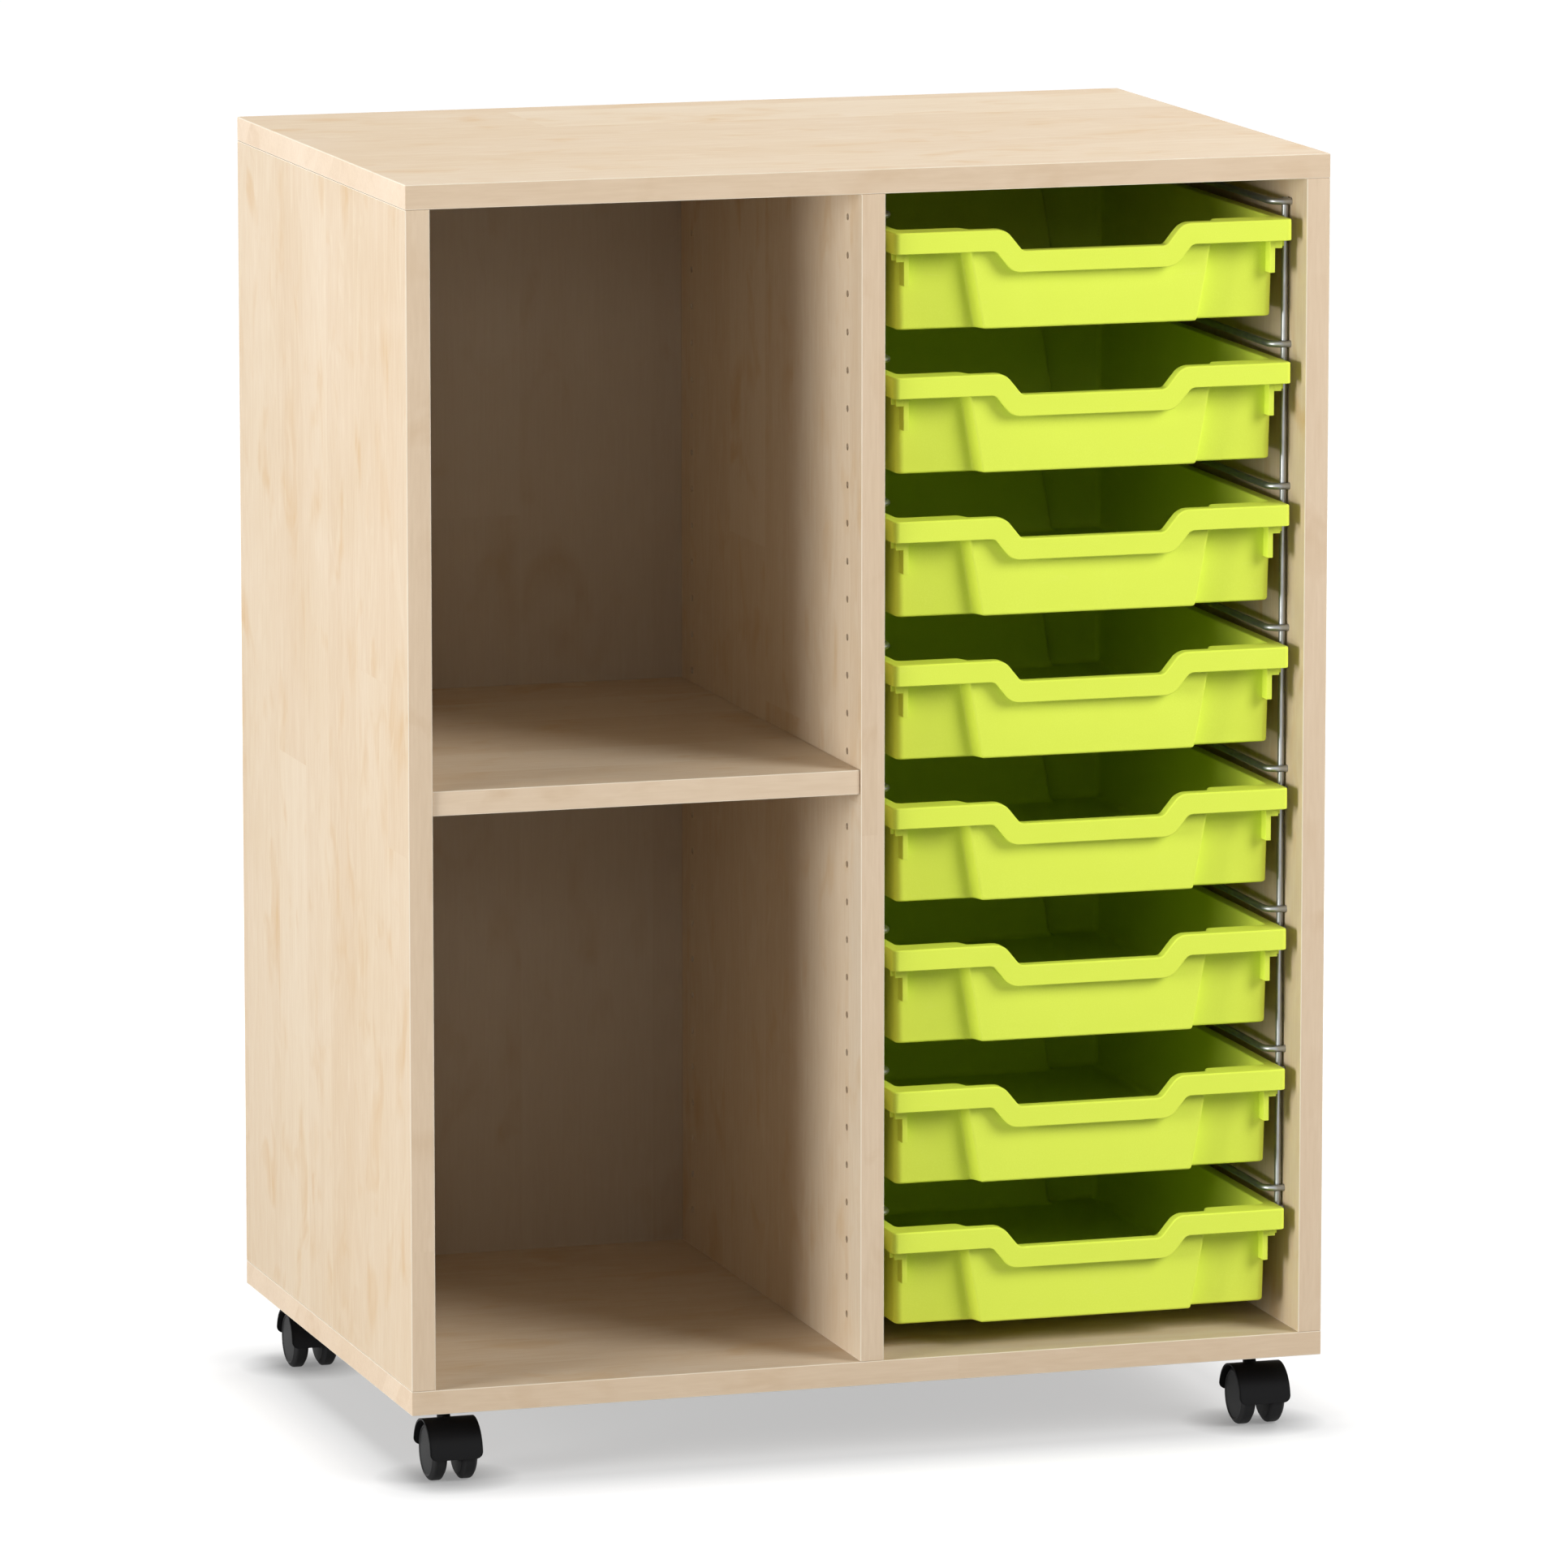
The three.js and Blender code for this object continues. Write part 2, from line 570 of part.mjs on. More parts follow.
// A moulded tray about the middle of its band, rim at zero height.
function tray() {
  const high = -RIM_T / 2;
  const tub = loft(tubPlan(0, TRAY_H), tubPlan(0, -high), -TRAY_H, high);
  const rim = prism(rimPlan(), "z", -RIM_T, 0);
  const line = dipLine(0);
  const above = [line.at(-1), line[0]].map((p) => new THREE.Vector2(p.x, RIM_T));
  const dip = prism([...line, ...above], "y", -BAND_T, END_WALL);
  const bandEnd = TRAY_W / 2 - BAND_CORNER;
  const ledgeEnd = DIP_TOP / 2 + 2 * DIP_EASE;
  const moulded = [
    tub.add(rim).subtract(dip),
    prism(dipStrip(BAND_H, bandEnd), "y", 0, BAND_T),
    prism(dipStrip(RIM_T, ledgeEnd), "y", BAND_T, END_WALL),
    prism(bandCorner(-1), "z", -BAND_H, 0),
    prism(bandCorner(1), "z", -BAND_H, 0),
    block([-RIB_OUT, TRAY_L - BAND_T, -BAND_H], [RIB_OUT, TRAY_L, high]),
    ...cornerRib(-1),
    ...cornerRib(1),
  ];
  const cavity = loft(tubPlan(TRAY_WALL, TRAY_H), tubPlan(TRAY_WALL, -RIM_T), TRAY_WALL - TRAY_H, RIM_T);
  return join(moulded).subtract(cavity);
}

// A solid of revolution about Z from radius and height pairs that start and end on the axis.
function revolve(profile, sides) {
  const points = profile.map(([radius, height]) => new THREE.Vector2(radius, height));
  return solid(new THREE.LatheGeometry(points, sides).rotateX(Math.PI / 2));
}

const WHEEL_R = WHEEL_D / 2;
const HOOD_IN = WHEEL_R + HOOD_GAP;
const HOOD_OUT = HOOD_IN + HOOD_T;
const WEB_HALF = WHEEL_SPACE / 2 - WEB_GAP;
const STEM_FRONT = CASTOR_TRAIL - STEM_D / 2;
const BOSS_TOP = WHEEL_R + Math.sqrt(HOOD_OUT ** 2 - STEM_FRONT ** 2) + BOSS_RISE;
const NECK_FOOT = BOSS_TOP - STEM_NECK;

// The sleeve in the base that takes a stem, open at its foot.
function castorSocket() {
  const bore = STEM_D / 2 + FIT;
  const roof = CASTOR_H + SOCKET_DEPTH;
  return revolve(
    [
      [0, roof - SOCKET_WALL],
      [bore, roof - SOCKET_WALL],
      [bore, CASTOR_H],
      [SOCKET_R, CASTOR_H],
      [SOCKET_R, roof],
      [0, roof],
    ],
    STEM_SIDES,
  );
}

// A stem: a shouldered pin whose neck turns in the hood.
function castorStem() {
  const top = CASTOR_H + SOCKET_DEPTH - SOCKET_WALL - FIT;
  const shoulder = BOSS_TOP + FIT;
  return revolve(
    [
      [0, NECK_FOOT],
      [STEM_NECK_D / 2, NECK_FOOT],
      [STEM_NECK_D / 2, shoulder],
      [STEM_D / 2, shoulder],
      [STEM_D / 2, top - STEM_CHAMFER],
      [STEM_D / 2 - STEM_CHAMFER, top],
      [0, top],
    ],
    STEM_SIDES,
  );
}

// A hood: an arch over both wheels, with a web between them that holds axle and stem.
function castorHood() {
  const rim = (radius) => arc(-CASTOR_TRAIL, WHEEL_R, radius, 0, HOOD_FRONT_ANGLE, HOOD_STEPS);
  const arch = prism([...rim(HOOD_OUT), ...rim(HOOD_IN).reverse()], "x", -HOOD_W / 2, HOOD_W / 2);
  const foot = new THREE.Vector2(-CASTOR_TRAIL, WHEEL_R - WEB_FOOT);
  const web = prism([...rim(HOOD_IN + SINK), foot], "x", -WEB_HALF, WEB_HALF);
  const boss = rod(WEB_HALF, STEM_SIDES, [0, 0, WHEEL_R], [0, 0, BOSS_TOP]);
  const bore = rod(STEM_NECK_D / 2 + FIT, STEM_SIDES, [0, 0, NECK_FOOT - FIT], [0, 0, BOSS_TOP + OVERCUT]);
  const axle = rod(
    AXLE_D / 2 + FIT,
    PEG_SIDES,
    [-HOOD_W, -CASTOR_TRAIL, WHEEL_R],
    [HOOD_W, -CASTOR_TRAIL, WHEEL_R],
  );
  return cut(join([arch, web, boss]), [bore, axle]);
}

const BORE_DEPTH = WHEEL_W - WHEEL_WALL;

function castorAxle() {
  const half = WHEEL_SPACE / 2 + BORE_DEPTH - FIT;
  return rod(AXLE_D / 2, PEG_SIDES, [-half, 0, 0], [half, 0, 0]);
}

// A wheel about its own axle, outer face towards +X: sunk disc, round shoulders, blind bore from inside.
function castorWheel() {
  const half = WHEEL_W / 2;
  const bore = AXLE_D / 2 + FIT;
  const body = revolve(
    [
      [0, BORE_DEPTH - half],
      [bore, BORE_DEPTH - half],
      [bore, -half],
      [WHEEL_R - TREAD_DROP, -half],
      [WHEEL_R, TREAD_BEVEL - half],
      [WHEEL_R, half - TREAD_SHOULDER],
      [DISC_D / 2 + DISC_SINK, half],
      [DISC_D / 2, half - DISC_SINK],
      [0, half - DISC_SINK],
    ],
    WHEEL_SIDES,
  );
  return surface(body).rotateY(Math.PI / 2);
}

// Carcass
piece(group, "top_panel", surface(topPanel()), "maple");
piece(group, "base_panel", surface(basePanel()), "maple");
piece(group, "left_side_panel", surface(leftSidePanel()), "maple");
piece(group, "right_side_panel", surface(rightSidePanel()), "maple");
piece(group, "divider_panel", surface(dividerPanel()), "maple");
piece(group, "back_panel", surface(backPanel()), "maple");
piece(group, "shelf", surface(shelf()), "maple");
pinPlaces().forEach((place, i) => {
  piece(group, `shelf_pin_${i + 1}`, surface(shelfPin(place)), "zinc");
});
dowelPlaces().forEach(({ x, y, z0, z1 }, i) => {
  piece(group, `dowel_${i + 1}`, surface(rod(DOWEL_D / 2, PEG_SIDES, [x, y, z0], [x, y, z1])), "beech");
});

// Tray bay
const trayBay = new THREE.Group();
trayBay.position.x = BAY_MIDDLE;
group.add(trayBay);
piece(trayBay, "wire_frame_left", surface(wireFrame(-1)), "steel");
piece(trayBay, "wire_frame_right", surface(wireFrame(1)), "steel");
const trayShape = surface(tray());
for (let i = 0; i < TRAY_COUNT; i += 1) {
  piece(trayBay, `tray_${i + 1}`, trayShape, "lime").position.set(0, FRONT + TRAY_SETBACK, rimZ(i));
}

// Castors
castorPlaces().forEach(([x, y], i) => {
  const castor = new THREE.Group();
  castor.position.set(x, y, 0);
  group.add(castor);
  piece(castor, `castor_socket_${i + 1}`, surface(castorSocket()), "zinc");
  piece(castor, `castor_stem_${i + 1}`, surface(castorStem()), "black");
  piece(castor, `castor_hood_${i + 1}`, surface(castorHood()), "black");
  const axle = piece(castor, `castor_axle_${i + 1}`, surface(castorAxle()), "zinc");
  axle.position.set(0, -CASTOR_TRAIL, WHEEL_R);
  [-1, 1].forEach((side) => {
    const name = `castor_wheel_${i + 1}_${side < 0 ? "left" : "right"}`;
    const wheel = piece(castor, name, castorWheel(), "black");
    wheel.position.set((side * (WHEEL_SPACE + WHEEL_W)) / 2, -CASTOR_TRAIL, WHEEL_R);
    wheel.rotation.z = side < 0 ? Math.PI : 0;
  });
});

export default group;
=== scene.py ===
"""Looks of a mobile classroom tray storage unit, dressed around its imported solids.

A maple board carcass has an open shelf bay on the left and eight lime trays on welded wire frames on the
right. It stands on four black twin-wheel castors. Sizes in the classes are millimetres, and meshes are
metres, with +Z up and the front towards -Y.
"""

import logging
import math
from dataclasses import dataclass, field
from enum import Enum, IntEnum
from functools import cached_property
from typing import Any, Sequence

import bmesh
import bpy
import numpy as np
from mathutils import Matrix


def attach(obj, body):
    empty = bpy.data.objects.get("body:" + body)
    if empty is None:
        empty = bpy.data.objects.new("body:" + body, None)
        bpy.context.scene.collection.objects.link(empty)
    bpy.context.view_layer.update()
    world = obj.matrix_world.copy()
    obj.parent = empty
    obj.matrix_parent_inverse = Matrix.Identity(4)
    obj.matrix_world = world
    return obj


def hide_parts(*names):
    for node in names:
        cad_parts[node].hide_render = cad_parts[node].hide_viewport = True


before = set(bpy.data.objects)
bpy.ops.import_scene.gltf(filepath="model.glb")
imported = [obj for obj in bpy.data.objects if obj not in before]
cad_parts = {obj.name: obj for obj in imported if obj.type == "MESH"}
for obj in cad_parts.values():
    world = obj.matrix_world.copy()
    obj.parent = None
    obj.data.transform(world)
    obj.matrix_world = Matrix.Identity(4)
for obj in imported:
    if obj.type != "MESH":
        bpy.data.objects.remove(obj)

Array = np.ndarray
Colour = tuple[float, float, float, float]
Line = Sequence[Sequence[float]]
Piece = bpy.types.Object
Socket = bpy.types.NodeSocket
Spot = tuple[float, float, float]
LOG = logging.getLogger("tray_unit")
MM = 0.001
# Points nearer than this are one, in metres.
MERGE = 1e-6
# Facets on a rounded corner, and the angle from which an edge is shown sharp.
ARC = 5
SHARP_ANGLE = math.radians(38)
# Clearance between pieces that fit into each other.
FIT = 0.3
# The two columns of holes in the uprights along Y, and the middle of the tray bay along X.
HOLE_COLUMNS = (-206.0, 187.0)
BAY_MIDDLE = 170.5
DOWELS = 12


class Axis(IntEnum):
    """Axes of the frame."""

    X = 0
    Y = 1
    Z = 2


class Grain(Enum):
    """Way that the maple figure runs on a board."""

    ACROSS = Axis.X
    UPRIGHT = Axis.Z


class Slot(IntEnum):
    """Material slots of a board."""

    FACE = 0
    EDGE = 1
    # Painted highlight: the slot of the lighter maple on the rounded arris.
    ARRIS_HIGHLIGHT = 2
    # Painted shade: the slot of the darker, cooler maple on faces inside the open bay.
    SHADED_MAPLE = 3


class Hand(Enum):
    """Left or right of a pair, as a sign along X; also the lower or higher face of a board."""

    LEFT = -1
    RIGHT = 1

    @property
    def word(self) -> str:
        """Gives the hand as a lower-case word."""
        return self.name.lower()


# Shapes


def units(rows: Array) -> Array:
    """Gives each row at length one."""
    return rows / np.linalg.norm(rows, axis=1, keepdims=True)


def circle(sides: int) -> Array:
    """Gives even angles once round."""
    return np.linspace(0, 2 * np.pi, sides, endpoint=False)


def quarter(steps: int) -> Array:
    """Gives even angles from nought to a right angle."""
    return np.linspace(0, np.pi / 2, steps + 1)


def between(a: Array, b: Array, shares: Array) -> Array:
    """Gives points on the straight run from a to b at the given shares of it."""
    return a + (b - a) * shares[:, None]


def corner_arcs(corners: Array, radii: Sequence[float], closed: bool, steps: int = ARC) -> Array:
    """Rounds the corners of a plane line.

    A corner with turn a and radius r is left r tan(a/2) before it. Its arc is the circle that touches both
    runs.

    Args:
        corners: Corner points, one row each.
        radii: Radius at each corner.
        closed: Whether the line closes on itself; otherwise its two ends are left as they are.
        steps: Facets on each arc.

    Returns:
        Points of the arcs, corner by arc point by two.
    """
    before = units(corners - np.roll(corners, 1, axis=0))
    after = units(np.roll(corners, -1, axis=0) - corners)
    if not closed:
        before[0], after[-1] = after[0], before[-1]
    cross = before[:, 0] * after[:, 1] - before[:, 1] * after[:, 0]
    turn = np.arctan2(cross, np.sum(before * after, axis=1))
    radius = np.asarray(radii, float)
    start = corners - before * (radius * np.tan(np.abs(turn) / 2))[:, None]
    side = np.sign(turn) * radius
    normal = np.column_stack([-before[:, 1], before[:, 0]])
    centre = start + normal * side[:, None]
    angle = turn[:, None] * np.linspace(0, 1, steps + 1)
    x, y = normal[:, None, 0], normal[:, None, 1]
    swung = np.stack([x * np.cos(angle) - y * np.sin(angle), x * np.sin(angle) + y * np.cos(angle)], axis=2)
    return centre[:, None, :] - swung * side[:, None, None]


def rounded(corners: Line, radii: Sequence[float], steps: int = ARC) -> Array:
    """Gives an open plane line with rounded corners as one run of points."""
    return corner_arcs(np.asarray(corners, float), radii, False, steps).reshape(-1, 2)


@dataclass
class Skin:
    """Points and faces of one piece, gathered from grids, in millimetres."""

    points: list[Array] = field(default_factory=list)
    faces: list[tuple[list[list[int]], int]] = field(default_factory=list)
    count: int = 0

    def place(self, points: Array) -> int:
        """Adds points.

        Args:
            points: Points in rows of three.

        Returns:
            Number of the first one.
        """
        first = self.count
        self.points.append(points.reshape(-1, 3))
        self.count += self.points[-1].shape[0]
        return first

    def grid(self, points: Array, capped: bool = True, finish: int = 0) -> None:
        """Adds a grid of closed rings as quads: neighbours along both parameters share a face.

        Args:
            points: Ring by point by three.
            capped: Whether the first and last rings are filled with one face each.
            finish: Material slot of its faces.
        """
        rings, sides = points.shape[:2]
        here = self.place(points) + np.arange(rings * sides).reshape(rings, sides)
        ahead = np.roll(here, -1, axis=1)
        quads = np.stack([here[:-1], here[1:], ahead[1:], ahead[:-1]], axis=-1).reshape(-1, 4)
        self.faces.append((quads.tolist(), finish))
        if capped:
            self.faces.append(([here[0].tolist(), here[-1][::-1].tolist()], finish))

    def cells(self, points: Array, corners: Array, finish: int = 0) -> None:
        """Adds faces that share a corner count.

        Args:
            points: Points in rows of three.
            corners: Point numbers of each face, counted from the first of these points.
            finish: Material slot of its faces.
        """
        first = self.place(points)
        self.faces.append(((corners + first).tolist(), finish))

    def piece(self, name: str, finishes: Sequence["Finish"], shift: Sequence[float] = (0, 0, 0)) -> Piece:
        """Makes the gathered skin a closed mesh object, seams merged and faces turned outwards.

        Args:
            name: Name of the object.
            finishes: Finish of each material slot.
            shift: Place of the skin's own origin, in millimetres.

        Returns:
            The object, at the origin, with its place in its mesh.
        """
        mesh = bpy.data.meshes.new(name)
        points = (np.concatenate(self.points) + np.asarray(shift, float)) * MM
        mesh.from_pydata(points, [], [face for some, _ in self.faces for face in some])
        slots = np.concatenate([np.full(len(some), finish) for some, finish in self.faces])
        mesh.polygons.foreach_set("material_index", slots.astype(np.int32))
        made = bmesh.new()
        made.from_mesh(mesh)
        bmesh.ops.remove_doubles(made, verts=made.verts[:], dist=MERGE)
        bmesh.ops.dissolve_degenerate(made, edges=made.edges[:], dist=MERGE / 2)
        bmesh.ops.recalc_face_normals(made, faces=made.faces[:])
        made.to_mesh(mesh)
        made.free()
        mesh.polygons.foreach_set("use_smooth", np.ones(len(mesh.polygons), bool))
        mesh.set_sharp_from_angle(angle=SHARP_ANGLE)
        for finish in finishes:
            mesh.materials.append(finish.material())
        made_object = bpy.data.objects.new(name, mesh)
        bpy.context.scene.collection.objects.link(made_object)
        even = made_object.modifiers.new("even_shading", "WEIGHTED_NORMAL")
        even.keep_sharp = True
        return made_object


def sweep(path: Array, radius: float, sides: int, up: Sequence[float], ease: float = 0.5) -> Array:
    """Carries a circle along a path, and draws its two ends in.

    Ring at path point p with tangent t is p + r (cos a, sin a) in the plane of n = up x t and t x n.

    Args:
        path: Points of the centre line.
        radius: Radius of the circle.
        sides: Points on the circle.
        up: A direction that is never along the path.
        ease: Run and fall of the chamfer at each end.

    Returns:
        Grid of path point by circle point by three.
    """
    run = np.gradient(path, axis=0)
    first, last = units(np.stack([path[1] - path[0], path[-1] - path[-2]]))
    path = np.concatenate([path[:1], path[:1] + first * ease, path[1:-1], path[-1:] - last * ease, path[-1:]])
    run = units(np.concatenate([[first, first], run[1:-1], [last, last]]))
    side = units(np.cross(np.asarray(up, float), run))
    rise = np.cross(run, side)
    size = np.full(len(path), radius)
    size[[0, -1]] -= ease
    angle = circle(sides)[None, :, None]
    ring = np.cos(angle) * side[:, None] + np.sin(angle) * rise[:, None]
    return path[:, None] + ring * size[:, None, None]


def turned(profile: Array, sides: int, axis: Axis) -> Array:
    """Turns a profile of radius and height pairs about an axis.

    Point at angle a is (r cos a, r sin a, h), with h along the axis.

    Args:
        profile: Radius and height, one row each.
        sides: Points round the axis.
        axis: The axis.

    Returns:
        Grid of profile point by angle by three.
    """
    angle = circle(sides)
    radius, height = profile[:, :1], profile[:, 1:]
    made = np.empty((len(profile), sides, 3))
    made[..., axis] = height
    made[..., (axis + 1) % 3] = radius * np.cos(angle)
    made[..., (axis + 2) % 3] = radius * np.sin(angle)
    return made


def soft_block(lo: Sequence[float], hi: Sequence[float], radius: float, steps: int = 2) -> Array:
    """Gives a block with rounded edges as rings along Z.

    Ring at angle a is the rounded rectangle drawn in by r (1 - sin a), at r (1 - cos a) from the end.

    Args:
        lo: Lowest corner.
        hi: Highest corner.
        radius: Radius of its edges.
        steps: Facets on each rounding.

    Returns:
        Grid of ring by point by three.
    """
    angle = quarter(steps)
    corner = (angle + np.pi / 2 * np.arange(-2, 2)[:, None]).reshape(-1)
    base = np.array([[lo[0], lo[1]], [hi[0], lo[1]], [hi[0], hi[1]], [lo[0], hi[1]]])
    base = base + radius * np.array([[1, 1], [-1, 1], [-1, -1], [1, -1]])
    base = np.repeat(base, steps + 1, axis=0)
    out = np.column_stack([np.cos(corner), np.sin(corner)])
    reach = radius * np.concatenate([np.sin(angle), np.sin(angle)[::-1]])
    fall = radius * (1 - np.cos(angle))
    made = np.empty((len(reach), len(base), 3))
    made[..., :2] = base + out * reach[:, None, None]
    made[..., 2] = np.concatenate([lo[2] + fall, hi[2] - fall[::-1]])[:, None]
    return made


# Finishes


class Nodes:
    """Writes the nodes of one material, or of the world."""

    def __init__(self, owner: bpy.types.Material | bpy.types.World) -> None:
        """Starts from the owner's shader.

        Args:
            owner: Material or world that is written.
        """
        owner.use_nodes = True
        self.tree = owner.node_tree
        self.shader = self.tree.nodes.get("Principled BSDF") or self.tree.nodes["Background"]

    @cached_property
    def place(self) -> Socket:
        """Gives Object coordinates."""
        return self.put("ShaderNodeTexCoord").outputs["Object"]

    def put(self, kind: str, values: dict[Any, Any] | None = None, **settings: Any) -> bpy.types.Node:
        """Adds a node.

        Args:
            kind: Blender's name of the node.
            values: Inputs by name or number, as sockets to link or as constants.
            **settings: Properties of the node.

        Returns:
            The node.
        """
        made = self.tree.nodes.new(kind)
        for key, value in settings.items():
            setattr(made, key, value)
        for key, value in (values or {}).items():
            self.feed(made.inputs[key], value)
        return made

    def feed(self, socket: Socket, value: Any) -> None:
        """Links a socket to another, or sets its constant.

        Args:
            socket: Input that is fed.
            value: Output to link, or a constant.
        """
        if isinstance(value, Socket):
            self.tree.links.new(value, socket)
        else:
            socket.default_value = value

    def stretched(self, scale: Sequence[float], start: Socket | None = None) -> Socket:
        """Gives coordinates with each axis scaled, Object coordinates unless others are given."""
        return self.put("ShaderNodeMapping", {"Vector": start or self.place, "Scale": scale}).outputs[0]

    def noise(self, vector: Socket, scale: float, detail: float = 2, warp: float = 0) -> Socket:
        """Gives a noise value, scale in cycles for each metre of the vector."""
        values = {"Vector": vector, "Scale": scale, "Detail": detail, "Distortion": warp}
        return self.put("ShaderNodeTexNoise", values).outputs[0]

    def span(self, value: Socket, low: float, high: float, to_low: float, to_high: float) -> Socket:
        """Carries a value from one range to another, held at its ends."""
        values = {0: value, 1: low, 2: high, 3: to_low, 4: to_high}
        return self.put("ShaderNodeMapRange", values).outputs[0]

    def mixed(self, share: Socket, first: Any, second: Any) -> Socket:
        """Mixes two colours."""
        return self.put("ShaderNodeMix", {0: share, 6: first, 7: second}, data_type="RGBA").outputs[2]

    def sum(self, first: Any, second: Any, act: str = "ADD") -> Socket:
        """Joins two values by one sum."""
        return self.put("ShaderNodeMath", {0: first, 1: second}, operation=act).outputs[0]

    def vector(self, act: str, *values: Any, output: str = "Vector") -> Socket:
        """Joins vectors by one sum."""
        return self.put("ShaderNodeVectorMath", dict(enumerate(values)), operation=act).outputs[output]

    def measure(self, way: Sequence[float]) -> Socket:
        """Gives the place along a direction, as a number of metres."""
        return self.vector("DOT_PRODUCT", self.place, way, output="Value")

    def shifted(self, by: Socket, reach: float) -> Socket:
        """Gives Object coordinates moved by a colour times a reach."""
        return self.vector("MULTIPLY_ADD", by, (reach, reach, reach), self.place)

    def strips(self, value: Socket, width: float, feature: str, output: str) -> Socket:
        """Cuts a measure into strips of uneven width.

        Args:
            value: The measure.
            width: Mean width of a strip.
            feature: Blender's name of what is wanted of each strip.
            output: Output that gives it.

        Returns:
            The strip's own chance colour, or the distance to its edge in strip widths.
        """
        settings = {"voronoi_dimensions": "1D", "feature": feature}
        return self.put("ShaderNodeTexVoronoi", {"W": value, "Scale": 1 / width}, **settings).outputs[output]

    def chance(self, colour: Socket, channel: int) -> Socket:
        """Gives one channel of a chance colour as an even number from 0 to 1."""
        return self.put("ShaderNodeSeparateColor", {0: colour}).outputs[channel]

    def seen(self) -> Socket:
        """Tells what looks at a surface from the light that falls on it.

        Returns:
            One for a ray of the camera, of gloss or of glass, and nought for others.
        """
        path = self.put("ShaderNodeLightPath").outputs
        seen = self.sum(path["Is Camera Ray"], path["Is Glossy Ray"], "MAXIMUM")
        return self.sum(seen, path["Is Transmission Ray"], "MAXIMUM")

    def bump(self, height: Socket, depth: float, strength: float) -> None:
        """Raises the surface by a height in metres times depth."""
        values = {"Height": height, "Distance": depth, "Strength": strength}
        self.set(Normal=self.put("ShaderNodeBump", values).outputs[0])

    def set(self, **values: Any) -> None:
        """Sets shader inputs by name, with _ for a space."""
        for key, value in values.items():
            self.feed(self.shader.inputs[key.replace("_", " ")], value)


@dataclass(frozen=True)
class Finish:
    """A surface finish that is made once and shared by its pieces."""

    name: str

    def material(self) -> bpy.types.Material:
        """Writes the finish's material on first use.

        Returns:
            The material, shared by all pieces of this finish.
        """
        made = bpy.data.materials.get(self.name)
        if not made:
            made = bpy.data.materials.new(self.name)
            self.write(Nodes(made))
        return made

    def write(self, nodes: Nodes) -> None:
        """Writes the finish's own nodes."""
        raise NotImplementedError


@dataclass(frozen=True)
class MapleBoard(Finish):
    """Maple-effect melamine: staves of differing tone with streaks, smudges, flames and fine fibres."""

    grain: Grain = Grain.UPRIGHT
    cream: Colour = (0.725, 0.595, 0.432, 1)
    tan: Colour = (0.650, 0.490, 0.320, 1)
    smudge: Colour = (0.620, 0.415, 0.210, 1)
    stave_wide: float = 0.09
    stave_long: float = 1.7
    figure: float = 1.0
    rough: float = 0.5

    def along(self, share: float, rest: float = 1.0) -> list[float]:
        """Gives a value for each axis, one along the grain and another across it."""
        return [share if axis is self.grain.value else rest for axis in Axis]

    def write(self, nodes: Nodes) -> None:
        """Writes the finish's own nodes.

        Args:
            nodes: Writer of its material.
        """
        across = nodes.measure(self.along(0.0))
        strip = nodes.strips(across, self.stave_wide, "F1", "Color")
        jump = nodes.sum(nodes.chance(strip, 1), 40.0, "MULTIPLY")
        length = nodes.sum(nodes.measure(self.along(1.0, 0.0)), jump)
        stave = nodes.strips(length, self.stave_long, "F1", "Color")
        own = nodes.shifted(stave, 3.0)
        slow, short, wavy, dash = (nodes.stretched(self.along(by), own) for by in (0.02, 0.55, 0.3, 0.09))
        fibre = nodes.stretched(self.along(0.02))
        level = nodes.span(nodes.chance(stave, 0), 0, 1, 0.1, 0.7)
        broad = nodes.span(nodes.noise(slow, 12, 2), 0.3, 0.7, -0.16, 0.16)
        streak = nodes.span(nodes.noise(slow, 70, 3, 0.3), 0.3, 0.7, -0.12, 0.12)
        fleck = nodes.span(nodes.noise(dash, 420, 2), 0.32, 0.68, -0.2, 0.2)
        tone = nodes.sum(nodes.sum(level, broad), nodes.sum(streak, fleck))
        colour = nodes.mixed(nodes.span(tone, 0.0, 0.9, 0, self.figure), self.cream, self.tan)
        cloud = nodes.span(nodes.noise(short, 25, 3, 0.7), 0.56, 0.76, 0, 0.85 * self.figure)
        colour = nodes.mixed(cloud, colour, self.smudge)
        flame = nodes.span(nodes.noise(wavy, 26, 3, 2.4), 0.55, 0.66, 0, 0.5 * self.figure)
        colour = nodes.mixed(flame, colour, self.cream)
        edge = nodes.strips(across, self.stave_wide, "DISTANCE_TO_EDGE", "Distance")
        colour = nodes.mixed(nodes.span(edge, 0.004, 0.018, 0.45 * self.figure, 0), colour, self.cream)
        fine = nodes.noise(fibre, 950, 2)
        colour = nodes.mixed(nodes.span(fine, 0.3, 0.7, 0.0, 0.14), colour, self.smudge)
        wear = nodes.span(nodes.noise(nodes.place, 7, 3, 0.8), 0.35, 0.7, -0.05, 0.06)
        rough = nodes.sum(nodes.span(fine, 0.3, 0.7, self.rough - 0.05, self.rough + 0.05), wear)
        nodes.set(Base_Color=colour, Roughness=rough, Specular_IOR_Level=0.3)
        nodes.bump(fine, 0.00006, 0.4)


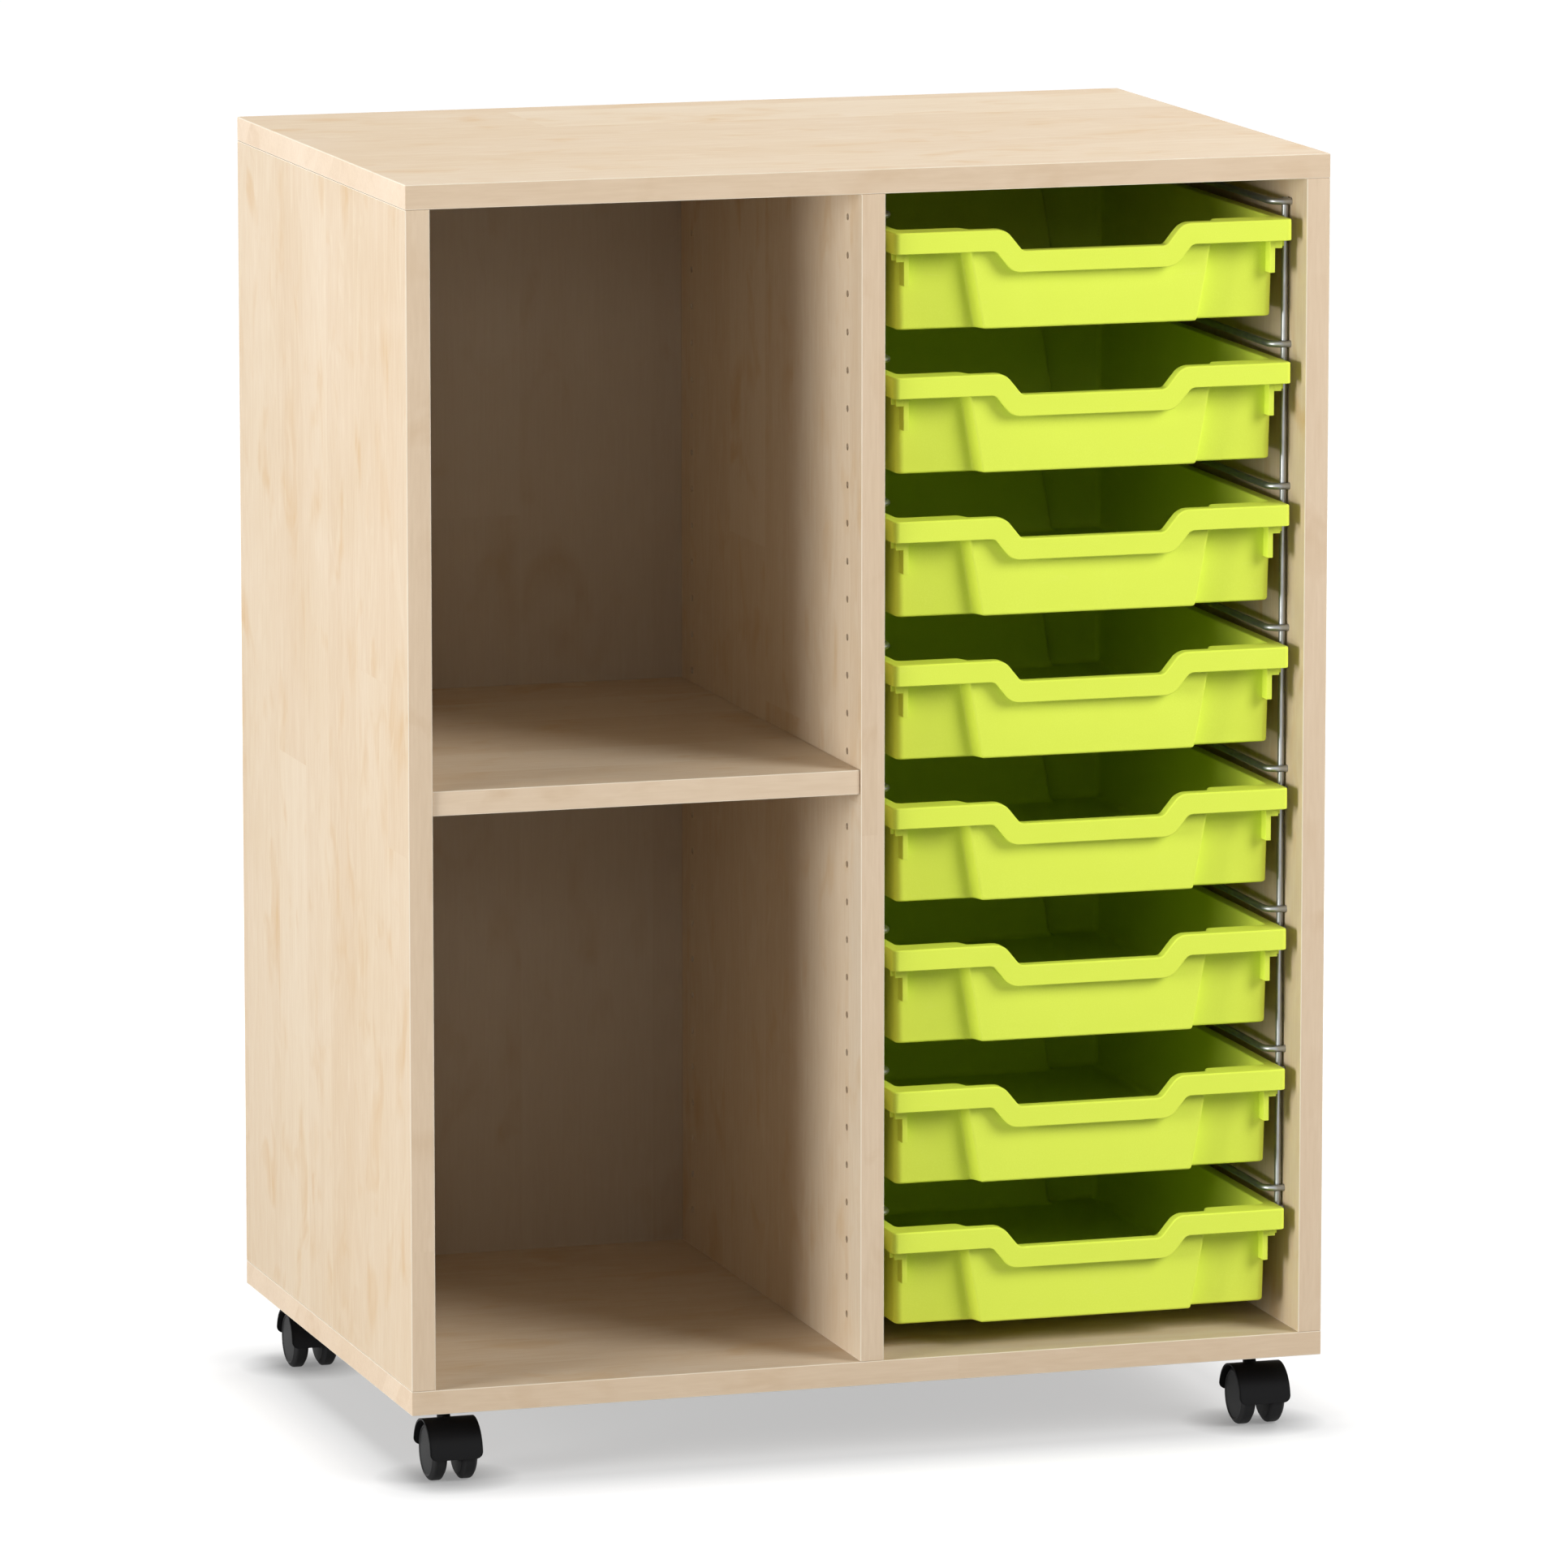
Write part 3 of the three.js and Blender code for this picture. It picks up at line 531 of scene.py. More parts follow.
@dataclass(frozen=True)
class MouldedPlastic(Finish):
    """Moulded plastic with a fine spark-eroded grain, slight flow mottling and light scuffs."""

    colour: Colour = (0.820, 0.955, 0.112, 1)
    flow: Colour = (0.795, 0.930, 0.100, 1)
    scuff: Colour = (0.850, 0.965, 0.160, 1)
    rough: float = 0.5
    specular: float = 0.25
    grain: float = 1100.0
    depth: float = 0.00009

    def write(self, nodes: Nodes) -> None:
        """Writes the finish's own nodes.

        Args:
            nodes: Writer of its material.
        """
        mottle = nodes.noise(nodes.place, 26, 3, 0.4)
        grain = nodes.noise(nodes.place, self.grain, 2)
        marks = nodes.span(nodes.noise(nodes.stretched((0.25, 1, 1)), 190, 2, 1.5), 0.66, 0.76, 0, 0.3)
        speckle = nodes.sum(nodes.span(mottle, 0.35, 0.7, 0, 0.6), nodes.span(grain, 0.35, 0.65, 0, 1.4))
        colour = nodes.mixed(speckle, self.colour, self.flow)
        colour = nodes.mixed(marks, colour, self.scuff)
        base = nodes.span(mottle, 0.3, 0.7, self.rough - 0.03, self.rough + 0.03)
        base = nodes.sum(nodes.span(grain, 0.3, 0.7, -0.05, 0.05), base)
        rough = nodes.sum(base, nodes.sum(marks, 0.2, "MULTIPLY"))
        nodes.set(Base_Color=colour, Roughness=rough, Specular_IOR_Level=self.specular)
        nodes.bump(grain, self.depth, 0.5)


@dataclass(frozen=True)
class PlatedSteel(Finish):
    """Bright steel with drawing marks along it and a slightly clouded plating."""

    colour: Colour = (0.40, 0.41, 0.42, 1)
    dull: Colour = (0.33, 0.335, 0.34, 1)
    rough: float = 0.44

    def write(self, nodes: Nodes) -> None:
        """Writes the finish's own nodes.

        Args:
            nodes: Writer of its material.
        """
        cloud = nodes.noise(nodes.place, 70, 3, 0.5)
        drawn = nodes.noise(nodes.stretched((1, 0.05, 0.05)), 2600, 2)
        colour = nodes.mixed(nodes.span(cloud, 0.35, 0.7, 0, 0.8), self.colour, self.dull)
        base = nodes.span(cloud, 0.3, 0.7, self.rough - 0.06, self.rough + 0.06)
        rough = nodes.sum(base, nodes.span(drawn, 0.3, 0.7, -0.04, 0.04))
        nodes.set(Base_Color=colour, Roughness=rough, Metallic=1.0)
        nodes.bump(drawn, 0.00002, 0.35)


def both_ways(name: str, **look: Any) -> dict[Grain, MapleBoard]:
    """Gives a board finish for each way of the grain."""
    return {grain: MapleBoard(f"{name}_{grain.name.lower()}", grain, **look) for grain in Grain}


MAPLE = both_ways("maple")
EDGING = both_ways(
    "edging",
    cream=(0.800, 0.640, 0.470, 1),
    tan=(0.700, 0.535, 0.370, 1),
    smudge=(0.650, 0.470, 0.300, 1),
    stave_wide=0.04,
    figure=0.8,
)
# Painted highlight: a lighter copy of the maple on the rounded arris of every board edge, standing in for the
# bright line of light along it.
ARRIS_HIGHLIGHT = both_ways(
    "arris_highlight",
    cream=(0.880, 0.780, 0.640, 1),
    tan=(0.850, 0.735, 0.580, 1),
    smudge=(0.800, 0.660, 0.480, 1),
    figure=0.5,
)
# Painted shade: darker, cooler copies of the maple for the faces inside the open bay, and a far darker one
# for the inner face of the back panel, standing in for the shade in there.
SHADED_MAPLE = both_ways(
    "shaded_maple",
    cream=(0.710, 0.602, 0.460, 1),
    tan=(0.637, 0.500, 0.346, 1),
    smudge=(0.605, 0.430, 0.242, 1),
)
SHADED_MAPLE_BACK = MapleBoard(
    "shaded_maple_back",
    cream=(0.495, 0.420, 0.325, 1),
    tan=(0.450, 0.365, 0.270, 1),
    smudge=(0.425, 0.325, 0.215, 1),
    figure=0.8,
)
BEECH = MapleBoard(
    "beech_peg",
    cream=(0.62, 0.43, 0.24, 1),
    tan=(0.5, 0.32, 0.16, 1),
    smudge=(0.33, 0.18, 0.08, 1),
    stave_wide=0.02,
)
LIME = MouldedPlastic("lime_moulding")
BLACK = MouldedPlastic(
    "hood_black",
    colour=(0.0045, 0.0045, 0.005, 1),
    flow=(0.006, 0.006, 0.0065, 1),
    scuff=(0.015, 0.015, 0.015, 1),
    specular=0.15,
    grain=1700,
    depth=0.00003,
)
TREAD = MouldedPlastic(
    "tread_black",
    colour=(0.008, 0.008, 0.0085, 1),
    flow=(0.011, 0.011, 0.0115, 1),
    scuff=(0.025, 0.025, 0.025, 1),
    rough=0.6,
    specular=0.2,
    grain=1200,
    depth=0.00003,
)
DISC = MouldedPlastic(
    "disc_grey",
    colour=(0.014, 0.0145, 0.015, 1),
    flow=(0.017, 0.0175, 0.018, 1),
    scuff=(0.03, 0.031, 0.032, 1),
    rough=0.55,
    specular=0.13,
    grain=1500,
    depth=0.00003,
)
WIRE_STEEL = PlatedSteel("bright_wire")
ZINC = PlatedSteel("zinc_plating", (0.48, 0.49, 0.50, 1), (0.36, 0.37, 0.38, 1), 0.36)


def dress(piece: Piece, body: str, node: str) -> None:
    """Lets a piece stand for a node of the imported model.

    Args:
        piece: The finished piece.
        body: Body that it moves with.
        node: Node that it stands for.
    """
    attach(piece, body)
    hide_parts(node)
    LOG.info("%s stands for %s on %s, %d faces", piece.name, node, body, len(piece.data.polygons))


# Carcass


@dataclass(frozen=True)
class Bores:
    """Blind holes in one face of a board."""

    side: Hand
    heights: tuple[float, ...]
    radius: float
    depth: float
    columns: tuple[float, ...] = HOLE_COLUMNS


@dataclass
class Board:
    """A board with softened edges and rows of blind holes."""

    name: str
    lo: Spot
    hi: Spot
    thin: Axis
    # Face that takes the painted-shade copy of the maple, and which copy it is.
    shaded_side: Hand | None = None
    bores: tuple[Bores, ...] = ()
    shade_foil: MapleBoard | None = None
    edge: float = 0.6
    cell: float = 6.0
    round_steps: int = 2
    bore_sides: int = 24
    drill_point: float = 0.4
    drill_tip: float = 0.05

    @property
    def axes(self) -> list[int]:
        """Gives the two axes of the board's faces."""
        return [(self.thin + 1) % 3, (self.thin + 2) % 3]

    def level(self, side: Hand) -> float:
        """Gives the place of a face along the thickness."""
        return (self.lo if side is Hand.LEFT else self.hi)[self.thin]

    def look(self, side: Hand) -> Slot:
        """Gives the material slot of a face, the painted-shade copy of the maple on the shaded side."""
        return Slot.SHADED_MAPLE if side is self.shaded_side else Slot.FACE

    def lines(self, axis: int, places: Sequence[float]) -> Array:
        """Gives the grid lines of a face along one axis, with a cell round each hole.

        Args:
            axis: The axis.
            places: Centres of the holes along it.

        Returns:
            The lines from low to high, each once.
        """
        centres = np.array(places, float)
        ends = [self.lo[axis] + self.edge, self.hi[axis] - self.edge]
        return np.unique(np.round(np.concatenate([ends, centres - self.cell, centres + self.cell]), 4))

    def skin(self) -> Skin:
        """Builds the board.

        Ring at angle a round a softened edge stands r sin a outside the flat face and r (1 - cos a) below it.

        Returns:
            Its skin: rings through the thickness, and two faces of cells with a fan round each hole.
        """
        b, c = self.axes
        at_b = self.lines(b, [y for bore in self.bores for y in bore.columns])
        at_c = self.lines(c, [z for bore in self.bores for z in bore.heights])
        runs = [
            np.column_stack([at_b, np.full_like(at_b, at_c[0])]),
            np.column_stack([np.full_like(at_c, at_b[-1]), at_c]),
            np.column_stack([at_b[::-1], np.full_like(at_b, at_c[-1])]),
            np.column_stack([np.full_like(at_c, at_b[0]), at_c[::-1]]),
        ]
        bend = quarter(self.round_steps)
        corner = bend[1:-1]
        base = np.concatenate([np.concatenate([run, np.repeat(run[-1:], len(corner), 0)]) for run in runs])
        starts = np.pi / 2 * np.arange(-1, 3)
        turns = [[np.full(len(run), start), start + corner] for run, start in zip(runs, starts)]
        angle = np.concatenate(sum(turns, []))
        out = np.column_stack([np.cos(angle), np.sin(angle)])
        reach = self.edge * np.concatenate([np.sin(bend), np.sin(bend)[::-1]])
        fall = self.edge * (1 - np.cos(bend))
        level = np.concatenate([self.lo[self.thin] + fall, self.hi[self.thin] - fall[::-1]])
        rings = np.empty((len(level), len(base), 3))
        rings[..., self.thin] = level[:, None]
        rings[..., self.axes] = base + out * reach[:, None, None]
        bent = len(bend)
        made = Skin()
        made.grid(rings[:bent], capped=False, finish=Slot.ARRIS_HIGHLIGHT)
        made.grid(rings[bent - 1 : bent + 1], capped=False, finish=Slot.EDGE)
        made.grid(rings[bent:], capped=False, finish=Slot.ARRIS_HIGHLIGHT)
        for side in Hand:
            self.face(made, side, at_b, at_c)
        return made

    def face(self, made: Skin, side: Hand, at_b: Array, at_c: Array) -> None:
        """Adds one broad face, cell by cell, with its holes.

        Rows of cells follow the face's own holes. A strip of one face at either end joins them to the edge,
        whose points follow the holes of both faces.

        Args:
            made: Skin to add to.
            side: Which of the two faces.
            at_b: Grid lines along the first axis.
            at_c: Points of the edge along the second axis.
        """
        (b, c), level, look = self.axes, self.level(side), self.look(side)
        own = [bore for bore in self.bores if bore.side is side]
        rows = self.lines(c, [z for bore in own for z in bore.heights])
        if self.bores:
            for edge, line in ((at_b[0], at_b[1]), (at_b[-1], at_b[-2])):
                strip = np.full((len(at_c) + len(rows), 3), level)
                strip[:, b] = np.repeat([edge, line], [len(at_c), len(rows)])
                strip[:, c] = np.concatenate([at_c, rows[::-1]])
                made.cells(strip, np.arange(len(strip))[None], look)
            at_b = at_b[1:-1]
        points = np.full((len(at_b), len(rows), 3), level)
        points[..., b], points[..., c] = np.meshgrid(at_b, rows, indexing="ij")
        number = np.arange(len(at_b) * len(rows)).reshape(len(at_b), len(rows))
        corners = np.stack([number[:-1, :-1], number[1:, :-1], number[1:, 1:], number[:-1, 1:]], axis=-1)
        points = points.reshape(-1, 3)
        whole = np.ones(corners.shape[:2], bool)
        for bore in own:
            low_b = np.searchsorted(at_b, np.array(bore.columns) - self.cell / 2) - 1
            low_c = np.searchsorted(rows, np.array(bore.heights) - self.cell / 2) - 1
            cells = np.ix_(low_b, low_c)
            whole[cells] = False
            centres = np.stack(np.meshgrid(bore.columns, bore.heights, indexing="ij"), -1).reshape(-1, 2)
            self.holes(made, bore, points[corners[cells].reshape(-1, 4)], centres)
        made.cells(points, corners[whole], look)

    def holes(self, made: Skin, bore: Bores, frames: Array, centres: Array) -> None:
        """Adds holes: a fan from each cell's corners to a circle, the wall of the bore and its drill point.

        Args:
            made: Skin to add to.
            bore: The rows of holes.
            frames: Corners of each hole's cell, hole by four by three.
            centres: Centre of each hole in the face.
        """
        sides, part = self.bore_sides, self.bore_sides // 4
        angle = circle(sides) - 0.75 * np.pi
        ring = np.column_stack([np.cos(angle), np.sin(angle)]) * bore.radius
        sink = np.array([0, bore.depth, bore.depth + self.drill_point * bore.radius])
        share = np.array([1, 1, self.drill_tip])
        rings = np.empty((len(centres), len(sink), sides, 3))
        rings[..., self.thin] = (self.level(bore.side) - bore.side.value * sink)[:, None]
        rings[..., self.axes] = centres[:, None, None] + ring * share[:, None, None]
        step = np.arange(sides)
        ahead = np.roll(step, -1)
        corner = len(sink) * sides + np.arange(4)
        fan = np.column_stack([corner[((step + part // 2) // part) % 4], step, ahead])
        ties = np.column_stack([corner, np.roll(corner, -1), part * np.arange(4) + part // 2])
        quads = np.column_stack([step, step + sides, ahead + sides, ahead])
        rim, wall = np.concatenate([fan, ties]), np.concatenate([quads, quads + sides])
        block = np.concatenate([rings.reshape(len(centres), -1, 3), frames], axis=1)
        offset = made.place(block) + (np.arange(len(centres)) * block.shape[1])[:, None, None]
        for some in (rim, wall, 2 * sides + step[None]):
            made.faces.append(((some + offset).reshape(-1, some.shape[1]).tolist(), self.look(bore.side)))

    def make(self) -> Piece:
        """Makes the board's piece.

        Returns:
            The piece, with its face, edging, the worn arris between them and any foil of one face as slots.
        """
        grain = Grain.ACROSS if self.thin is Axis.Z else Grain.UPRIGHT
        looks = [kind[grain] for kind in (MAPLE, EDGING, ARRIS_HIGHLIGHT)]
        if self.shaded_side:
            looks.append(self.shade_foil or SHADED_MAPLE[grain])
        return self.skin().piece(f"{self.name}_board", looks)


@dataclass
class Carcass:
    """The board carcass, with its shelf and the pins that carry it."""

    keeper_heights: tuple[float, ...]
    half_width: float = 350.0
    half_depth: float = 240.0
    foot: float = 57.5
    board: float = 18.0
    floor: float = 75.5
    roof: float = 936.5
    back_face: float = 215.0
    back_thick: float = 8.0
    groove: float = 6.0
    seam: float = 0.05
    setback: float = 2.0
    hole_first: float = 20.0
    hole_last: float = 14.0
    hole_pitch: float = 28.0
    hole_radius: float = 2.6
    hole_depth: float = 9.0
    shelf_hole: int = 15
    pin_radius: float = 2.5
    pin_length: float = 16.0
    pin_sink: float = 1.5
    pin_rounds: tuple[float, ...] = (0, 0.6, 0.8, 0)
    pin_sides: int = 24
    keeper_radius: float = 2.75
    keeper_depth: float = 7.0

    def shelf_rows(self, side: Hand) -> Bores:
        """Gives the two columns of shelf holes in a face.

        Args:
            side: Which face of its board.

        Returns:
            The holes, as many rows as fit between the first and the last.
        """
        count = int((self.roof - self.floor - self.hole_first - self.hole_last) // self.hole_pitch) + 1
        heights = tuple(self.roof - self.hole_first - self.hole_pitch * np.arange(count))
        return Bores(side, heights, self.hole_radius, self.hole_depth)

    def keeper_rows(self, side: Hand) -> Bores:
        """Gives the two columns of wire holes in a face."""
        return Bores(side, self.keeper_heights, self.keeper_radius, self.keeper_depth)

    def boards(self) -> list[Board]:
        """Lists the boards with their places.

        Returns:
            The boards, in the order in which they are made.
        """
        w, d, t = self.half_width, self.half_depth, self.board
        low, high, back = self.floor + self.seam, self.roof - self.seam, self.back_face
        inner, foot = w - t + self.groove, self.shelf_foot()
        left, right = Hand
        x, y, z = Axis
        return [
            Board("top_panel", (-w, -d, self.roof), (w, d, self.roof + t), z, left),
            Board("base_panel", (-w, -d, self.foot), (w, d, self.floor), z, right),
            Board("left_side_panel", (-w, -d, low), (t - w, d, high), x, right, (self.shelf_rows(right),)),
            Board("right_side_panel", (w - t, -d, low), (w, d, high), x, None, (self.keeper_rows(left),)),
            Board(
                "divider_panel",
                (-t / 2, -d, low),
                (t / 2, back - FIT, high),
                x,
                left,
                (self.shelf_rows(left), self.keeper_rows(right)),
            ),
            Board(
                "back_panel",
                (-inner, back, self.floor - self.groove),
                (inner, back + self.back_thick, self.roof + self.groove),
                y,
                left,
                shade_foil=SHADED_MAPLE_BACK,
            ),
            Board(
                "shelf",
                (t - w + FIT, self.setback - d, foot),
                (-t / 2 - FIT, back - FIT, foot + t),
                z,
                right,
            ),
        ]

    def pin_height(self) -> float:
        """Gives the height of the hole row that carries the shelf."""
        return self.roof - self.hole_first - self.shelf_hole * self.hole_pitch

    def shelf_foot(self) -> float:
        """Gives the height of the shelf's underside."""
        return self.pin_height() + self.pin_radius - self.pin_sink

    def pin(self, face: float, inward: Hand, y: float) -> Skin:
        """Builds a shelf pin: a turned peg with rounded ends, part of it in its hole.

        Args:
            face: Face of the board along X.
            inward: Direction into the board.
            y: Place of the hole column.

        Returns:
            The pin's skin.
        """
        r, tip = self.pin_radius, self.hole_depth - FIT
        end = tip - self.pin_length
        profile = rounded([(0, tip), (r, tip), (r, end), (0, end)], self.pin_rounds)
        grid = turned(profile, self.pin_sides, Axis.X)
        grid[..., 0] = face + inward.value * grid[..., 0]
        made = Skin()
        made.grid(grid + np.array([0, y, self.pin_height()]), capped=False)
        return made

    def build(self) -> None:
        """Builds the boards and pins."""
        for board in self.boards():
            dress(board.make(), "carcass", board.name)
        faces = [(self.board - self.half_width, Hand.LEFT), (-self.board / 2, Hand.RIGHT)]
        places = [(face, inward, y) for face, inward in faces for y in HOLE_COLUMNS]
        for number, place in enumerate(places, 1):
            piece = self.pin(*place).piece(f"shelf_pin_{number}_peg", [ZINC])
            dress(piece, "carcass", f"shelf_pin_{number}")


# Tray bay


@dataclass
class WireFrame:
    """A welded wire frame: two uprights, and a keeper and a carrying wire at each tray."""

    hand: Hand
    rims: tuple[float, ...]
    bay_half: float = 161.5
    radius: float = 2.5
    bend: float = 9.0
    keeper_half: float = 147.0
    keeper_rise: float = 9.9
    keeper_plug: float = 6.7
    carrier_half: float = 149.1
    carrier_drop: float = 5.8
    upright_x: float = 158.0
    upright_y: tuple[float, float] = (-202.5, 183.5)
    overrun: float = 0.5
    sides: int = 16
    bend_steps: int = 8
    bead: Spot = (2.6, 1.5, 2.6)
    bead_steps: int = 6
    bead_sides: int = 12

    def runner(self, half: float, z: float, plug: float) -> Array:
        """Gives the wire that comes in from the board, runs back beside the tray and goes out again.

        Args:
            half: Distance of the run from the middle of the bay.
            z: Height of the wire.
            plug: How far its ends go into the board.

        Returns:
            Grid of the bent wire.
        """
        end = self.bay_half + plug
        front, rear = HOLE_COLUMNS
        corners = [(end, front), (half, front), (half, rear), (end, rear)]
        line = rounded(corners, [0, self.bend, self.bend, 0], self.bend_steps)
        line = line[np.append(True, np.linalg.norm(np.diff(line, axis=0), axis=1) > MERGE)]
        x = BAY_MIDDLE + self.hand.value * line[:, 0]
        path = np.column_stack([x, line[:, 1], np.full(len(line), z)])
        return sweep(path, self.radius, self.sides, (0, 0, 1))

    def weld(self, x: float, y: float, z: float) -> Array:
        """Gives a weld bead where a wire crosses an upright.

        The bead is an egg: (a cos u sin v, b sin u sin v, a cos v), flatter along Y.

        Args:
            x: Place of its middle along X.
            y: Place of its middle along Y.
            z: Height of its middle.

        Returns:
            Grid of the bead.
        """
        v = np.linspace(0, np.pi, self.bead_steps + 1)[:, None]
        u = circle(self.bead_sides)
        egg = np.stack([np.sin(v) * np.cos(u), np.sin(v) * np.sin(u), np.cos(v) * np.ones_like(u)], axis=-1)
        return egg * np.array(self.bead) + np.array([x, y, z])

    def build(self) -> None:
        """Builds the frame as one piece."""
        made = Skin()
        x = BAY_MIDDLE + self.hand.value * self.upright_x
        top = self.rims[0] + self.keeper_rise + self.radius + self.overrun
        foot = self.rims[-1] - self.carrier_drop - self.radius - self.overrun
        for y, leg in zip(self.upright_y, HOLE_COLUMNS):
            path = np.column_stack([np.full(3, x), np.full(3, y), np.linspace(foot, top, 3)])
            made.grid(sweep(path, self.radius, self.sides, (1, 0, 0)))
            for rim in self.rims:
                for z in (rim + self.keeper_rise, rim - self.carrier_drop):
                    made.grid(self.weld(x, (y + leg) / 2, z), capped=False)
        for rim in self.rims:
            made.grid(self.runner(self.keeper_half, rim + self.keeper_rise, self.keeper_plug))
            made.grid(self.runner(self.carrier_half, rim - self.carrier_drop, -FIT))
        node = f"wire_frame_{self.hand.word}"
        dress(made.piece(f"{node}_wires", [WIRE_STEEL]), "carcass", node)


@dataclass
class Tray:
    """A moulded tray: a tub with a raised front panel and a rear recess, a dipped band, ribs and tabs."""

    # Tub
    width: float = 306.0
    length: float = 427.0
    height: float = 73.3
    wall: float = 2.2
    lean: float = 1.5
    tub_half: float = 145.6
    tub_corner: float = 6.0
    # Rim and band
    rim_half: float = 152.5
    rim_thick: float = 3.0
    band_high: float = 15.7
    band_thick: float = 2.5
    band_corner: float = 5.0
    band_return: float = 25.7
    band_slack: float = 0.1
    rear_band_half: float = 142.7
    rear_rows: tuple[float, ...] = (0.4, 0.1, -0.3)
    side_rows: tuple[float, ...] = (12.0, 18.0, 40.0, 120.0)
    return_rows: tuple[float, ...] = (-1.1, -0.3, 0.0, 0.3)
    # Raised front panel and rear recess
    end_wall: float = 20.0
    proud: float = 12.0
    panel_top: float = 190.0
    panel_foot: float = 163.0
    flank: float = 4.0
    flank_fillet: float = 2.0
    panel_edge: float = 1.6
    recess_top: float = 173.0
    recess_foot: float = 196.0
    recess_flank: float = 2.0
    recess_fillet: float = 0.4
    recess_edge: float = 2.8
    recess_share: float = 0.9
    least_corner: float = 1.0
    least_edge: float = 0.4
    # Finger dip
    dip_top: float = 136.0
    dip_floor: float = 110.0
    dip_depth: float = 15.9
    dip_margin: float = 2.0
    dip_crest: tuple[float, float] = (13.5, 7.0)
    dip_foot: tuple[float, float] = (5.5, 13.5)
    # Roundings of the walls
    top_round: float = 1.3
    low_round: float = 0.7
    lip_round: float = 1.0
    web_fillet: float = 0.8
    floor_fillet: float = 4.0
    foot_round: float = 1.8
    # Ribs and tabs at the front corners
    rib_thick: float = 4.0
    rib_out: float = 142.7
    rib_drop: float = 24.5
    rib_setback: float = 10.0
    rib_bury: float = 1.0
    rib_round: float = 0.5
    tab_thick: float = 2.2
    tab_wide: float = 5.7
    tab_drop: float = 6.5
    tab_sink: float = 0.2
    tab_bury: float = 0.5
    tab_round: float = 0.4
    step_wide: float = 8.2
    step_drop: float = 5.4
    step_back: float = 3.5
    # Divisions
    steps: int = 6
    round_steps: int = 4
    run_steps: int = 4
    dip_steps: int = 8
    wall_shares: tuple[float, ...] = (0.08, 0.25, 0.5, 0.75)

    def __post_init__(self) -> None:
        """Works out the shares and places at which the straight runs are divided."""
        self.run = np.linspace(0, 1, self.run_steps + 1)[1:-1]
        near = self.band_return + np.array(self.return_rows)
        self.return_places = np.sort(np.concatenate([self.side_rows, near, [self.length / 2]]))

    def dip(self, drop: float) -> Array:
        """Gives the line of the front rim, moved down by drop and off its slopes.

        The slopes' corners move out by drop tan(s/2), s being the slope, so the strip between two lines has
        one width.

        Args:
            drop: Distance below the rim's top face.

        Returns:
            Points of the line across the raised panel, x and z.
        """
        slope = math.atan2(self.dip_depth, (self.dip_top - self.dip_floor) / 2)
        out = drop * math.tan(slope / 2)
        top, floor = self.dip_top / 2 + out, self.dip_floor / 2 + out
        end = self.panel_top / 2 - self.dip_margin
        low = -self.dip_depth - drop
        share = min(drop / self.band_high, 1)
        crest = self.dip_crest[0] + (self.dip_crest[1] - self.dip_crest[0]) * share
        foot = self.dip_foot[0] + (self.dip_foot[1] - self.dip_foot[0]) * share
        half = np.array([[end, -drop], [top, -drop], [floor, low]])
        corners = np.concatenate([half * [-1, 1], half[::-1]])
        arcs = corner_arcs(corners, [0, crest, foot, foot, crest, 0], False, self.steps)
        middle = between(arcs[2][-1], arcs[3][0], np.linspace(0, 1, self.dip_steps + 1)[1:-1])
        return np.concatenate([arcs[0][:1], arcs[1], arcs[2], middle, arcs[3], arcs[4], arcs[5][-1:]])

    def tub(self, inset: float, depth: Array | float) -> Array:
        """Gives the tub's plan at a depth: a rounded rectangle, its panel raised, its rear wall recessed.

        The walls lean in, the panel narrows and the recess widens evenly, so a point is its place at the rim
        and at the foot, shared by depth.

        Args:
            inset: Distance inside the outer wall.
            depth: Depth below the rim's top face, for all points or for each.

        Returns:
            Points of the loop, x and y.
        """
        share = (np.broadcast_to(np.asarray(depth, float), (self.count(),)) / self.height)[:, None]
        return self.plan(inset, 0) * (1 - share) + self.plan(inset, 1) * share

    def plan(self, inset: float, share: float) -> Array:
        """Gives the tub's plan at the rim or at the foot.

        Args:
            inset: Distance inside the outer wall.
            share: 0 at the rim and 1 at the foot.

        Returns:
            Points of the loop, x and y.
        """
        half = self.tub_half - self.lean * share - inset
        front = self.end_wall + self.lean * share + inset
        rear = self.length - front
        panel = (self.panel_top + (self.panel_foot - self.panel_top) * share) / 2 - inset
        recess = (self.recess_top + (self.recess_foot - self.recess_top) * share) / 2 + inset
        face, bed = front - self.proud, rear - self.proud
        near = np.array([[half, front], [panel + self.flank, front], [panel, face]])
        away = np.array([[half, rear], [recess + self.recess_flank, rear], [recess, bed]])
        corners = np.concatenate([near * [-1, 1], near[::-1], away, away[::-1] * [-1, 1]])
        turn = max(self.tub_corner - inset, self.least_corner)
        ahead = [turn, self.flank_fillet + inset, max(self.panel_edge - inset, self.least_edge)]
        behind = [turn, max(self.recess_edge - inset, self.least_edge), self.recess_fillet + inset]
        arcs = corner_arcs(corners, ahead + ahead[::-1] + behind + behind[::-1], True, self.steps)
        spread = self.dip(0)[:, 0] / (self.panel_top / 2) * panel
        back = np.linspace(self.recess_share, -self.recess_share, len(spread)) * recess
        side = (self.return_places - self.band_corner) / (self.length / 2 - self.band_corner) * 0.5
        ways = np.concatenate([side, 1 - side[::-1][1:]])
        shares = {0: self.run, 4: self.run, 5: ways, 6: self.run, 10: self.run, 11: ways}
        runs = {n: between(arcs[n][-1], arcs[(n + 1) % len(arcs)][0], share) for n, share in shares.items()}
        runs[2] = np.column_stack([spread, np.full(len(spread), face)])
        runs[8] = np.column_stack([back, np.full(len(spread), bed)])
        stretches = [[arc, runs[n]] if n in runs else [arc] for n, arc in enumerate(arcs)]
        return np.concatenate(sum(stretches, []))

